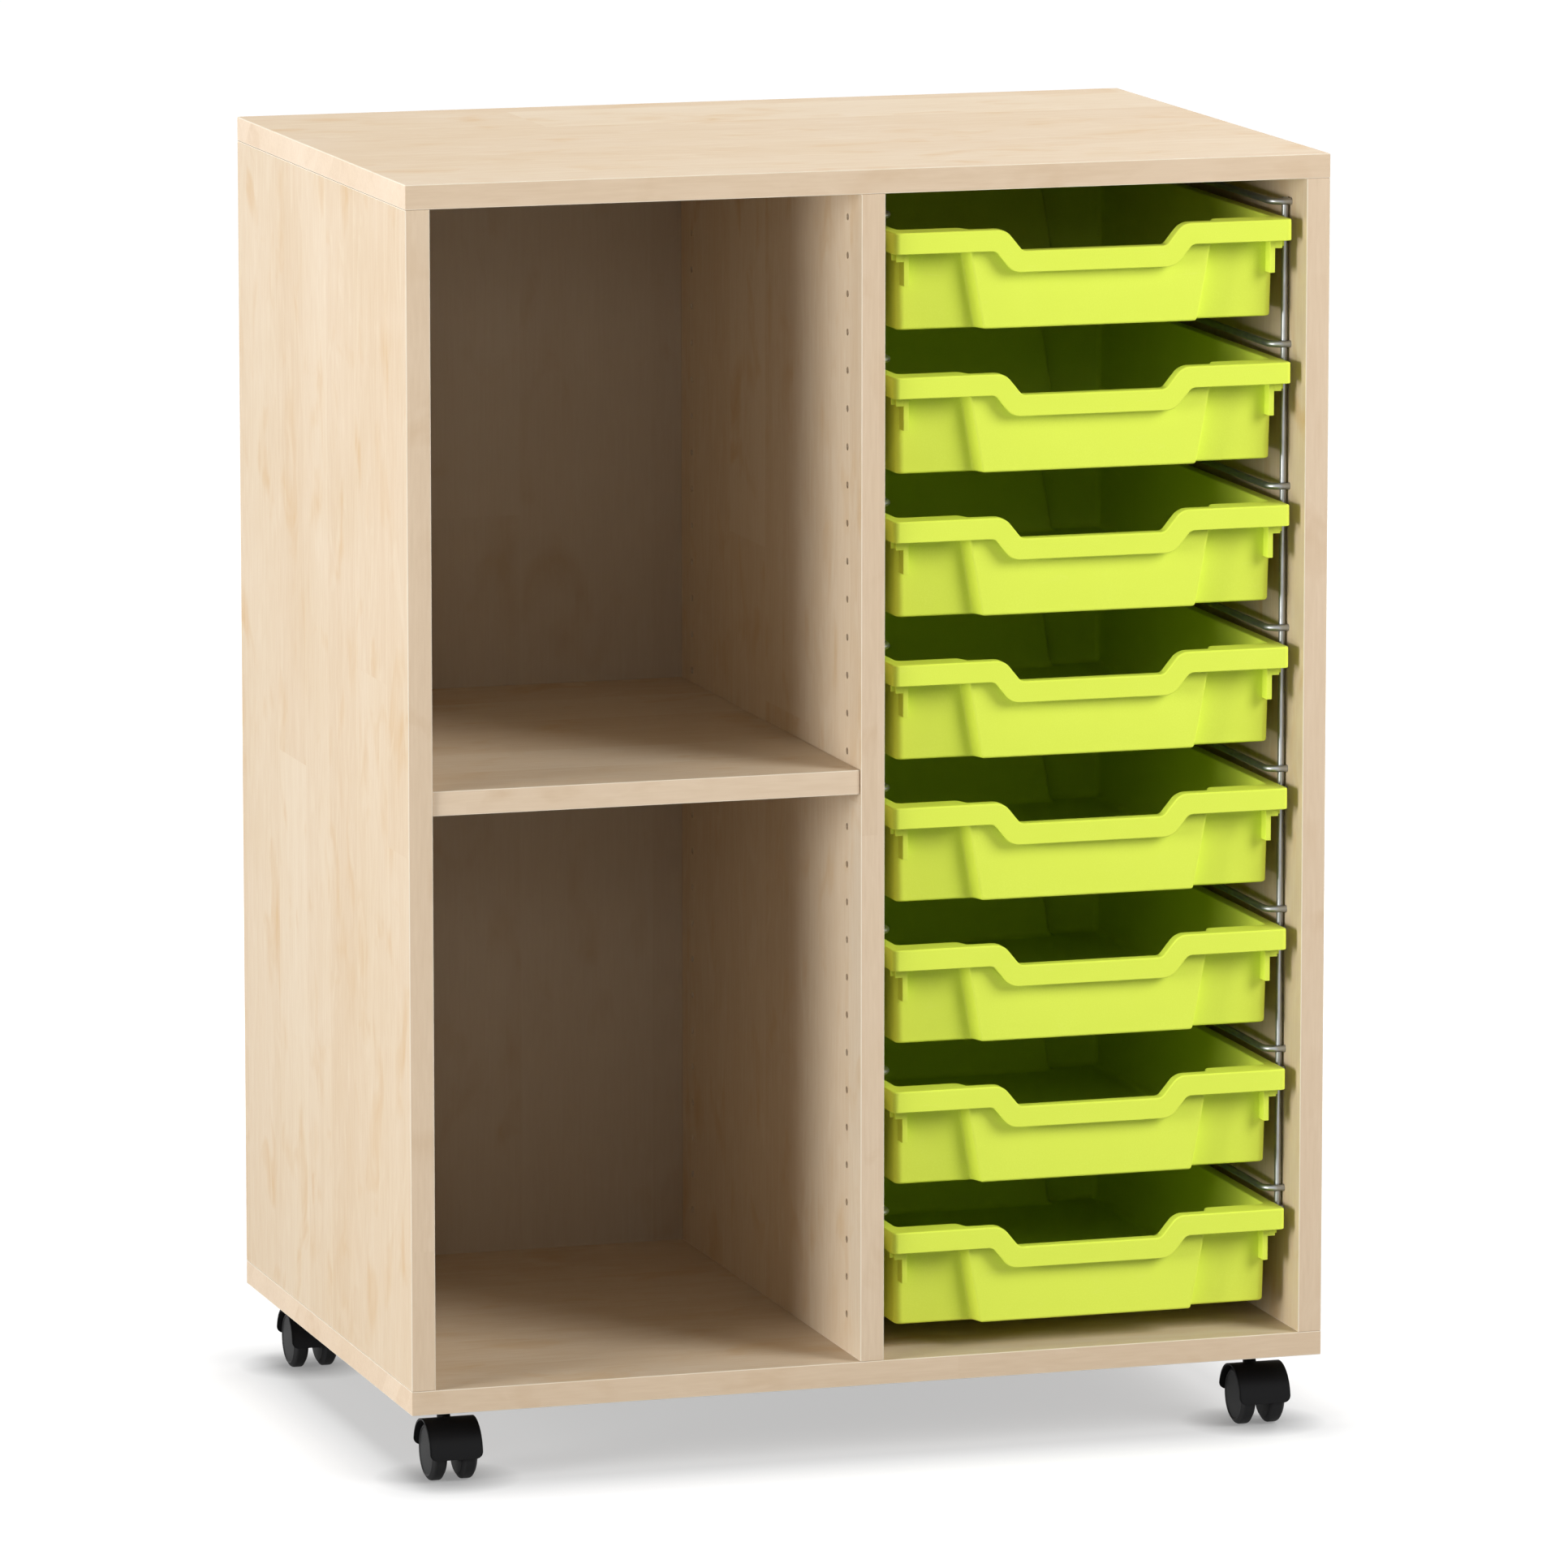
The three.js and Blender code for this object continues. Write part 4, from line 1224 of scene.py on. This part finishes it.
    def parts(self) -> dict[str, slice]:
        """Tells the stretches of the loop apart.

        Returns:
            Where each stretch starts and ends, by name.
        """
        arc, run, dip = self.steps + 1, len(self.run), len(self.dip(0))
        side = 2 * len(self.return_places) - 1
        front = 2 * run + 4 * arc + dip
        names = ["corner_1", "front", "corner_2", "right", "corner_3", "rear", "corner_4", "left"]
        sizes = [arc, front, arc, side, arc, front, arc, side]
        ends = np.cumsum(sizes)
        return {name: slice(int(end - size), int(end)) for name, size, end in zip(names, sizes, ends)}

    def count(self) -> int:
        """Gives the number of points in a loop."""
        return self.parts()["left"].stop

    def panel(self) -> slice:
        """Gives where the loop crosses the raised front panel."""
        start = self.parts()["front"].start + len(self.run) + 2 * (self.steps + 1)
        return slice(start, start + len(self.dip(0)))

    def rim(self, inset: Array | float) -> Array:
        """Gives the outer edge of band and rim in plan, moved in by inset.

        Args:
            inset: Distance inside the edge, for all points or for each.

        Returns:
            Points of the loop, x and y.
        """
        inset = np.broadcast_to(np.asarray(inset, float), (self.count(),))
        where = self.parts()
        top = self.plan(0, 0)[:, 0]
        made = np.empty((self.count(), 2))
        wide, narrow, r = self.width / 2, self.rim_half, self.band_corner
        spots = {
            "corner_1": (r - wide, r, np.pi),
            "corner_2": (wide - r, r, 1.5 * np.pi),
            "corner_3": (narrow - r, self.length - r, 0),
            "corner_4": (r - narrow, self.length - r, np.pi / 2),
        }
        for name, (x, y, start) in spots.items():
            reach, angle = r - inset[where[name]], start + quarter(self.steps)
            made[where[name]] = np.column_stack([x + reach * np.cos(angle), y + reach * np.sin(angle)])
        made[where["front"]] = np.column_stack([top[where["front"]], inset[where["front"]]])
        rear = top[where["rear"]].copy()
        step = self.rear_band_half + np.array(self.rear_rows)
        rear[: len(step)], rear[-len(step) :] = step, -step[::-1]
        made[where["rear"]] = np.column_stack([rear, self.length - inset[where["rear"]]])
        places = np.concatenate([self.return_places, self.length - self.return_places[::-1][1:]])
        edge = np.where(places < self.band_return, wide, narrow)
        made[where["right"]] = np.column_stack([edge - inset[where["right"]], places])
        made[where["left"]] = np.column_stack([inset[where["left"]] - edge[::-1], places[::-1]])
        return made

    def band(self) -> Array:
        """Tells where the rim has its deep band: in front, on a short return at each side, and behind.

        Returns:
            Depth of band or rim at each point of the loop.
        """
        where = self.parts()
        rim = self.rim(0)
        deep = np.zeros(self.count(), bool)
        for name in ("corner_1", "front", "corner_2"):
            deep[where[name]] = True
        for name in ("right", "left"):
            deep[where[name]] = rim[where[name], 1] < self.band_return - self.band_slack
        deep[where["rear"]] = np.abs(rim[where["rear"], 0]) < self.rear_band_half
        return np.where(deep, self.band_high, self.rim_thick)

    def ring(self, plan: Array, drop: Array | float, follow: bool = True) -> Array:
        """Puts a plan loop at a drop below the rim, following the finger dip across the panel.

        Args:
            plan: Points of the loop, x and y.
            drop: Distance below the rim's top face, for all points or for each.
            follow: Whether the loop follows the dip.

        Returns:
            Points of the ring.
        """
        drop = np.broadcast_to(np.asarray(drop, float), (self.count(),))
        made = np.column_stack([plan, -drop])
        if follow:
            across = self.panel()
            line = self.dip(float(drop[across].min()))
            made[across, 0], made[across, 2] = line[:, 0], line[:, 1]
        return made

    def tub_ring(self, inset: float, drop: float, follow: bool = True) -> Array:
        """Gives the tub's ring at an inset and a drop."""
        return self.ring(self.tub(inset, drop), drop, follow)

    def rim_ring(self, inset: Array | float, drop: Array | float) -> Array:
        """Gives the rim's ring at an inset and a drop."""
        return self.ring(self.rim(inset), drop)

    def wall_rings(self, inset: float, top: Array, foot: float, shares: Sequence[float]) -> list[Array]:
        """Gives the rings of one wall face between its top ring and a depth.

        Args:
            inset: Distance inside the outer wall.
            top: Ring at the top of the wall.
            foot: Depth of the lowest ring.
            shares: Shares of the way down.

        Returns:
            The rings.
        """
        depths = [-top[:, 2] * (1 - share) + foot * share for share in shares]
        return [np.column_stack([self.tub(inset, depth), -depth]) for depth in depths]

    def shell(self) -> Array:
        """Builds the moulding as rings, from the floor up the inside, over the rim and down the outside.

        A rounding of radius r is the run of rings at r (1 - sin a) one way and r (1 - cos a) the other.

        Returns:
            Grid of ring by point by three.
        """
        arc = quarter(self.round_steps)
        turn = list(zip(1 - np.sin(arc), 1 - np.cos(arc)))
        band = self.band()
        web = (band - self.rim_thick) / 3
        wall, thick, under = self.wall, self.band_thick, self.rim_thick
        floor, foot = self.height - wall, self.height - self.foot_round
        r = self.floor_fillet
        rings = [self.tub_ring(wall + r * s, floor - r * c, False) for s, c in turn]
        lip = self.tub_ring(wall, self.lip_round)
        rings += self.wall_rings(wall, lip, floor - r, self.wall_shares[::-1])
        r = self.lip_round
        rings += [self.tub_ring(wall - r * s, r * c) for s, c in turn[::-1]]
        r = self.top_round
        rings += [self.rim_ring(r * s, r * c) for s, c in turn]
        r = self.low_round
        rings += [self.rim_ring(r * c, band - r * s) for s, c in turn]
        r = np.minimum(self.low_round, web)
        rings += [self.rim_ring(thick - r * s, band - r * c) for s, c in turn]
        r = np.minimum(self.web_fillet, web)
        rings += [self.rim_ring(thick + r * c, under + r * s) for s, c in turn]
        r = self.web_fillet
        rings += [self.tub_ring(-r * s, under + r * c) for s, c in turn]
        rings += self.wall_rings(0, rings[-1], foot, self.wall_shares)
        r = self.foot_round
        rings += [self.tub_ring(r * c, foot + r * (1 - s), False) for s, c in turn]
        return np.stack(rings)

    def make(self, number: int, shift: Sequence[float]) -> None:
        """Makes one tray's piece: the moulding, and a rib with two tabs at each front corner.

        Args:
            number: Number of the tray from the top.
            shift: Place of the middle of its front rim.
        """
        made = Skin()
        made.grid(self.shell())
        high = self.tab_bury - self.rim_thick
        bury = self.end_wall + self.rib_bury - self.rib_setback
        rib = (self.rib_thick, bury, self.rib_round)
        tab = (self.rib_thick / 2, self.tab_thick, self.tab_round)
        blocks = [
            (*rib, 0.0, self.rib_drop, 0.0),
            (*tab, self.tab_wide, self.tab_drop, self.tab_sink),
            (*tab, self.step_wide, self.step_drop, self.step_back),
        ]
        for hand in Hand:
            for inside, thick, soft, outside, drop, back in blocks:
                x = sorted([hand.value * (self.rib_out - inside), hand.value * (self.rib_out + outside)])
                front, low = self.rib_setback + back, -self.band_high - drop
                made.grid(soft_block((x[0], front, low), (x[1], front + thick, high), soft))
        piece = made.piece(f"tray_{number}_moulding", [LIME], shift)
        dress(piece, f"tray_{number}", f"tray_{number}")


@dataclass
class TrayBay:
    """The right bay: eight trays and the two frames that carry them."""

    trays: int = 8
    first_rim: float = 906.5
    pitch: float = 105.4
    front: float = -234.5

    def rims(self) -> tuple[float, ...]:
        """Gives the height of each tray's rim from the top down."""
        return tuple(self.first_rim - self.pitch * np.arange(self.trays))

    def build(self) -> None:
        """Builds frames and trays."""
        for hand in Hand:
            WireFrame(hand, self.rims()).build()
        tray = Tray()
        for number, rim in enumerate(self.rims(), 1):
            tray.make(number, (BAY_MIDDLE, self.front, rim))


# Castors


CASTOR_PLACES = [(x, y) for y in (-188.3, 207.7) for x in (-312.2, 312.2)]


@dataclass
class Castor:
    """A twin-wheel castor: a stem in its socket, and a hood that turns on it over two wheels."""

    number: int
    x: float
    y: float
    base: float = 57.5
    trail: float = 12.2
    wheel_radius: float = 21.7
    wheel_wide: float = 11.9
    wheel_space: float = 11.0
    wheel_wall: float = 3.0
    wheel_sides: int = 80
    tread_bevel: float = 2.5
    tread_drop: float = 3.7
    tread_shoulder: float = 2.4
    tread_rounds: tuple[float, ...] = (0, 0, 0.3, 1.2, 1.6, 2.4, 0.7, 0)
    disc_sink: float = 0.9
    disc_dome: tuple[tuple[float, float], ...] = ((17.25, 0), (16.7325, 0.12), (10.35, 0.3), (0.01, 0.38))
    hood_wide: float = 39.6
    hood_in: float = 22.5
    hood_out: float = 24.1
    hood_end: float = 186.5
    hood_corner: float = 5.0
    hood_rows: int = 40
    hood_columns: int = 12
    corner_steps: int = 8
    lip_steps: int = 6
    web_half: float = 5.0
    web_foot: float = 7.0
    web_bury: float = 0.5
    axle_radius: float = 3.0
    stem_radius: float = 4.85
    stem_rounds: tuple[float, ...] = (0, 0.3, 0, 0.4, 1.0, 0)
    neck_radius: float = 3.8
    neck_long: float = 13.0
    boss_rise: float = 0.4
    boss_bore: float = 4.0
    boss_rounds: tuple[float, ...] = (0, 0, 0.4, 0, 0, 0)
    boss_sides: int = 40
    socket_wall: float = 1.5
    socket_depth: float = 16.0
    socket_rounds: tuple[float, ...] = (0, 0, 0.3, 0.3, 0.3, 0)
    sides: int = 64

    def boss_top(self) -> float:
        """Gives the height of the boss that the stem's shoulder rests on."""
        front = self.trail - self.stem_radius
        return self.wheel_radius + math.sqrt(self.hood_out**2 - front**2) + self.boss_rise

    def lathe(self, name: str, corners: Line, radii: Sequence[float], finish: Finish) -> Piece:
        """Makes a piece that is turned about the stem.

        Args:
            name: Name of the piece.
            corners: Radius and height of each corner of the profile.
            radii: Rounding of each corner.
            finish: Its finish.

        Returns:
            The piece.
        """
        made = Skin()
        made.grid(turned(rounded(corners, radii), self.sides, Axis.Z), capped=False)
        return made.piece(name, [finish], (self.x, self.y, 0))

    def hood(self) -> Skin:
        """Builds the hood: an arched plate with rounded corners, a web between the wheels and a boss.

        At angle t the plate reaches w(t) to each side: W/2 - r + sqrt(r^2 - (r - d)^2) at d from an end, and
        W/2 elsewhere.

        Returns:
            The hood's skin.
        """
        made = Skin()
        middle, thick = (self.hood_in + self.hood_out) / 2, (self.hood_out - self.hood_in) / 2
        r, rad = self.hood_corner, self.wheel_radius
        span = math.radians(self.hood_end) * middle
        near = r * (1 - np.cos(quarter(self.corner_steps)))
        along = np.concatenate([near, np.linspace(r, span - r, self.hood_rows)[1:-1], span - near[::-1]])
        gap = np.minimum(np.minimum(along, span - along), r)
        reach = self.hood_wide / 2 - r + np.sqrt(np.maximum(r**2 - (r - gap) ** 2, 0))
        flat = np.linspace(-1, 1, self.hood_columns)
        bend = np.linspace(-np.pi / 2, np.pi / 2, self.lip_steps + 1)
        none, ends, lip = np.zeros_like(flat), np.ones_like(bend), thick * np.cos(bend) - thick
        side_x = np.concatenate([flat, ends, -flat, -ends])
        swell = np.concatenate([none, lip, none, -lip])
        rise = thick * np.sin(bend)
        radius = middle + np.concatenate([none - thick, rise, none + thick, -rise])
        angle = (along / middle)[:, None]
        grid = np.empty((len(along), len(side_x), 3))
        grid[..., 0] = reach[:, None] * side_x + swell
        grid[..., 1] = radius * np.cos(angle) - self.trail
        grid[..., 2] = radius * np.sin(angle) + rad
        made.grid(grid)
        swing = np.radians(np.linspace(0, self.hood_end, self.hood_rows))
        inner = self.hood_in + self.web_bury
        arch = np.column_stack([inner * np.cos(swing) - self.trail, inner * np.sin(swing) + rad])
        web = np.empty((2, len(arch) + 1, 3))
        web[..., 0] = [[-self.web_half], [self.web_half]]
        web[..., 1:] = np.concatenate([arch, [[-self.trail, rad - self.web_foot]]])
        made.grid(web)
        top, wide, hole = self.boss_top(), self.web_half, self.neck_radius + FIT
        low = top - self.boss_bore
        corners = [(0, rad), (wide, rad), (wide, top), (hole, top), (hole, low), (0, low)]
        made.grid(turned(rounded(corners, self.boss_rounds), self.boss_sides, Axis.Z), capped=False)
        return made

    def wheel(self, hand: Hand) -> Skin:
        """Builds a wheel: a bevelled tread, a sunk disc outside and a blind bore inside.

        Args:
            hand: Which wheel of the pair.

        Returns:
            The wheel's skin, with the disc in its second material slot.
        """
        half, rad, disc = self.wheel_wide / 2, self.wheel_radius, self.disc_dome[0][0]
        bore, depth = self.axle_radius + FIT, half - self.wheel_wall
        sunk = half - self.disc_sink
        corners = [(0, depth), (bore, depth), (bore, -half), (rad - self.tread_drop, -half)]
        corners += [(rad, self.tread_bevel - half), (rad, half - self.tread_shoulder)]
        corners += [(disc + self.disc_sink, half), (disc, sunk)]
        profiles = [rounded(corners, self.tread_rounds), np.array(self.disc_dome) + [0, sunk]]
        made = Skin()
        for finish, profile in enumerate(profiles):
            grid = turned(profile, self.wheel_sides, Axis.X)
            grid[..., 0] = hand.value * (grid[..., 0] + (self.wheel_space + self.wheel_wide) / 2)
            made.grid(grid + np.array([0, -self.trail, rad]), capped=False, finish=finish)
        return made

    def build(self) -> None:
        """Builds the castor's pieces."""
        n, body = self.number, f"castor_{self.number}"
        place = (self.x, self.y, 0)
        bore, foot, roof = self.stem_radius + FIT, self.base, self.base + self.socket_depth
        outer, inside = bore + self.socket_wall, roof - self.socket_wall
        corners = [(0, inside), (bore, inside), (bore, foot), (outer, foot), (outer, roof), (0, roof)]
        socket = self.lathe(f"castor_{n}_sleeve", corners, self.socket_rounds, ZINC)
        dress(socket, "carcass", f"castor_socket_{n}")
        top, shoulder, foot = inside - FIT, self.boss_top() + FIT, self.boss_top() - self.neck_long
        neck, stem = self.neck_radius, self.stem_radius
        corners = [(0, foot), (neck, foot), (neck, shoulder), (stem, shoulder), (stem, top), (0, top)]
        pin = self.lathe(f"castor_{n}_pin", corners, self.stem_rounds, BLACK)
        dress(pin, "carcass", f"castor_stem_{n}")
        hood = self.hood().piece(f"castor_{n}_cover", [BLACK], place)
        dress(hood, body, f"castor_hood_{n}")
        for hand in Hand:
            piece = self.wheel(hand).piece(f"castor_{n}_roller_{hand.word}", [TREAD, DISC], place)
            dress(piece, f"{body}_wheel_{hand.word}", f"castor_wheel_{n}_{hand.word}")


# Studio


@dataclass
class Lamp:
    """A soft area lamp, which glossy surfaces mirror only where in_gloss is set."""

    name: str
    place: Spot
    aim: Spot
    size: float
    power: float
    in_gloss: bool = True

    def build(self) -> None:
        """Hangs the lamp and turns it to its aim."""
        data = bpy.data.lights.new(self.name, "AREA")
        data.shape = "DISK"
        data.size = self.size
        data.energy = self.power
        made = bpy.data.objects.new(self.name, data)
        made.location = self.place
        made.visible_glossy = self.in_gloss
        way = np.array(self.aim) - np.array(self.place)
        way = way / np.linalg.norm(way)
        made.rotation_euler = (math.acos(-way[2]), 0, math.atan2(way[0], -way[1]) + math.pi)
        bpy.context.scene.collection.objects.link(made)


@dataclass
class Studio:
    """A pale floor, soft light and the camera, in metres."""

    camera_place: Spot = (-2.398399, -7.765593, 1.838871)
    azimuth: float = -17.20722
    elevation: float = 9.58508
    lens: float = 252.779
    sensor: float = 36.0
    clip_end: float = 200.0
    floor_half: float = 60.0
    floor_colour: Colour = (0.3, 0.3, 0.3, 1)
    floor_rough: float = 0.9
    white: Colour = (1, 1, 1, 1)
    ambient: float = 0.06
    # Lift of the floor towards white under the unit, near it and far off, and the share left at a wheel; the
    # low lift under the unit and at each wheel paints a shadow there.
    footprint: Spot = (0.33, 0.22, 0.0)
    shadow_lift: float = 0.5
    near_lift: float = 0.8
    near: float = 0.07
    far: tuple[float, float] = (0.3, 1.5)
    wheel_shadow: Spot = (0.312, 0.198, 0.0)
    wheel_shadow_span: tuple[float, float] = (0.018, 0.055)
    wheel_shadow_share: float = 0.5
    lamps: tuple[Lamp, ...] = (
        Lamp("left", (-4.23, -1.46, 0.92), (0, 0, 0.45), 1.7, 150),
        Lamp("right", (2.86, -2.86, 2.55), (0, 0, 0.5), 2.4, 161, in_gloss=False),
        Lamp("front", (-1.6, -5.0, 2.1), (0, 0, 0.45), 0.8, 8),
        Lamp("top", (-1.2, 0.2, 4.8), (0, 0, 0.45), 1.6, 84),
        Lamp("rear", (2.9, 2.6, 3.0), (0, 0, 0.5), 2.0, 72),
        Lamp("rear_left", (-2.4, 3.8, 1.0), (0, 0, 0.45), 2.0, 26),
        Lamp("rear_right", (3.9, 2.2, 1.2), (0, 0, 0.45), 2.0, 30),
    )

    def camera(self) -> None:
        """Sets the camera at the photograph's angle."""
        data = bpy.data.cameras.new("view")
        data.lens = self.lens
        data.sensor_width = self.sensor
        data.clip_end = self.clip_end
        made = bpy.data.objects.new("view", data)
        made.location = self.camera_place
        made.rotation_euler = (math.pi / 2 - math.radians(self.elevation), 0, math.radians(self.azimuth))
        bpy.context.scene.collection.objects.link(made)
        bpy.context.scene.camera = made

    def floor(self) -> None:
        """Lays a pale floor that is lifted to white for what looks at it, less so under and near the unit and
        at each wheel, which paints a shadow there.
        """
        mesh = bpy.data.meshes.new("floor")
        corners = self.floor_half * np.array([(-1, -1, 0), (1, -1, 0), (1, 1, 0), (-1, 1, 0)])
        mesh.from_pydata(corners, [], [(0, 1, 2, 3)])
        made = bpy.data.objects.new("floor", mesh)
        bpy.context.scene.collection.objects.link(made)
        look = bpy.data.materials.new("studio_floor")
        mesh.materials.append(look)
        nodes = Nodes(look)
        corner = nodes.vector("ABSOLUTE", nodes.place)
        # Painted shadow: the lift falls round each wheel and under the unit's footprint, darkening the floor
        # there beyond its own shadow.
        wheel = nodes.vector("DISTANCE", corner, self.wheel_shadow, output="Value")
        wheel_shadow_mask = nodes.span(wheel, *self.wheel_shadow_span, self.wheel_shadow_share, 1)
        outside = nodes.vector("MAXIMUM", nodes.vector("SUBTRACT", corner, self.footprint), (0, 0, 0))
        away = nodes.vector("LENGTH", outside, output="Value")
        footprint_shadow = nodes.span(away, 0, self.near, self.shadow_lift, self.near_lift)
        lift = nodes.sum(footprint_shadow, nodes.span(away, *self.far, 0, 1 - self.near_lift))
        shown = nodes.sum(nodes.sum(lift, wheel_shadow_mask, "MULTIPLY"), nodes.seen(), "MULTIPLY")
        nodes.set(Base_Color=self.floor_colour, Roughness=self.floor_rough, Specular_IOR_Level=0.0)
        nodes.set(Emission_Color=self.white, Emission_Strength=shown)

    def world(self) -> None:
        """Sets the even light from all round, and a white backdrop for what looks at it."""
        world = bpy.data.worlds.new("studio")
        bpy.context.scene.world = world
        nodes = Nodes(world)
        nodes.set(Color=self.white, Strength=nodes.span(nodes.seen(), 0, 1, self.ambient, 1))

    def build(self) -> None:
        """Builds the studio."""
        bpy.context.scene.view_settings.view_transform = "Standard"
        self.camera()
        self.floor()
        self.world()
        for lamp in self.lamps:
            lamp.build()


def finish_packed(names: str, count: int, finish: Finish) -> None:
    """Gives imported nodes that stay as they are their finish.

    Args:
        names: Start of the nodes' names.
        count: How many there are.
        finish: Their finish.
    """
    for number in range(1, count + 1):
        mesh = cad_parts[f"{names}_{number}"].data
        mesh.materials.clear()
        mesh.materials.append(finish.material())
        LOG.info("%s_%d stays as packed, in %s", names, number, finish.name)


def main() -> None:
    """Builds the unit's pieces in order, then the studio."""
    logging.basicConfig(level=logging.INFO)
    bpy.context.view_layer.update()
    bay = TrayBay()
    Carcass(tuple(rim + WireFrame.keeper_rise for rim in bay.rims())).build()
    bay.build()
    for number, (x, y) in enumerate(CASTOR_PLACES, 1):
        Castor(number, x, y).build()
    finish_packed("dowel", DOWELS, BEECH)
    finish_packed("castor_axle", len(CASTOR_PLACES), ZINC)
    Studio().build()


if __name__ == "__main__":
    main()
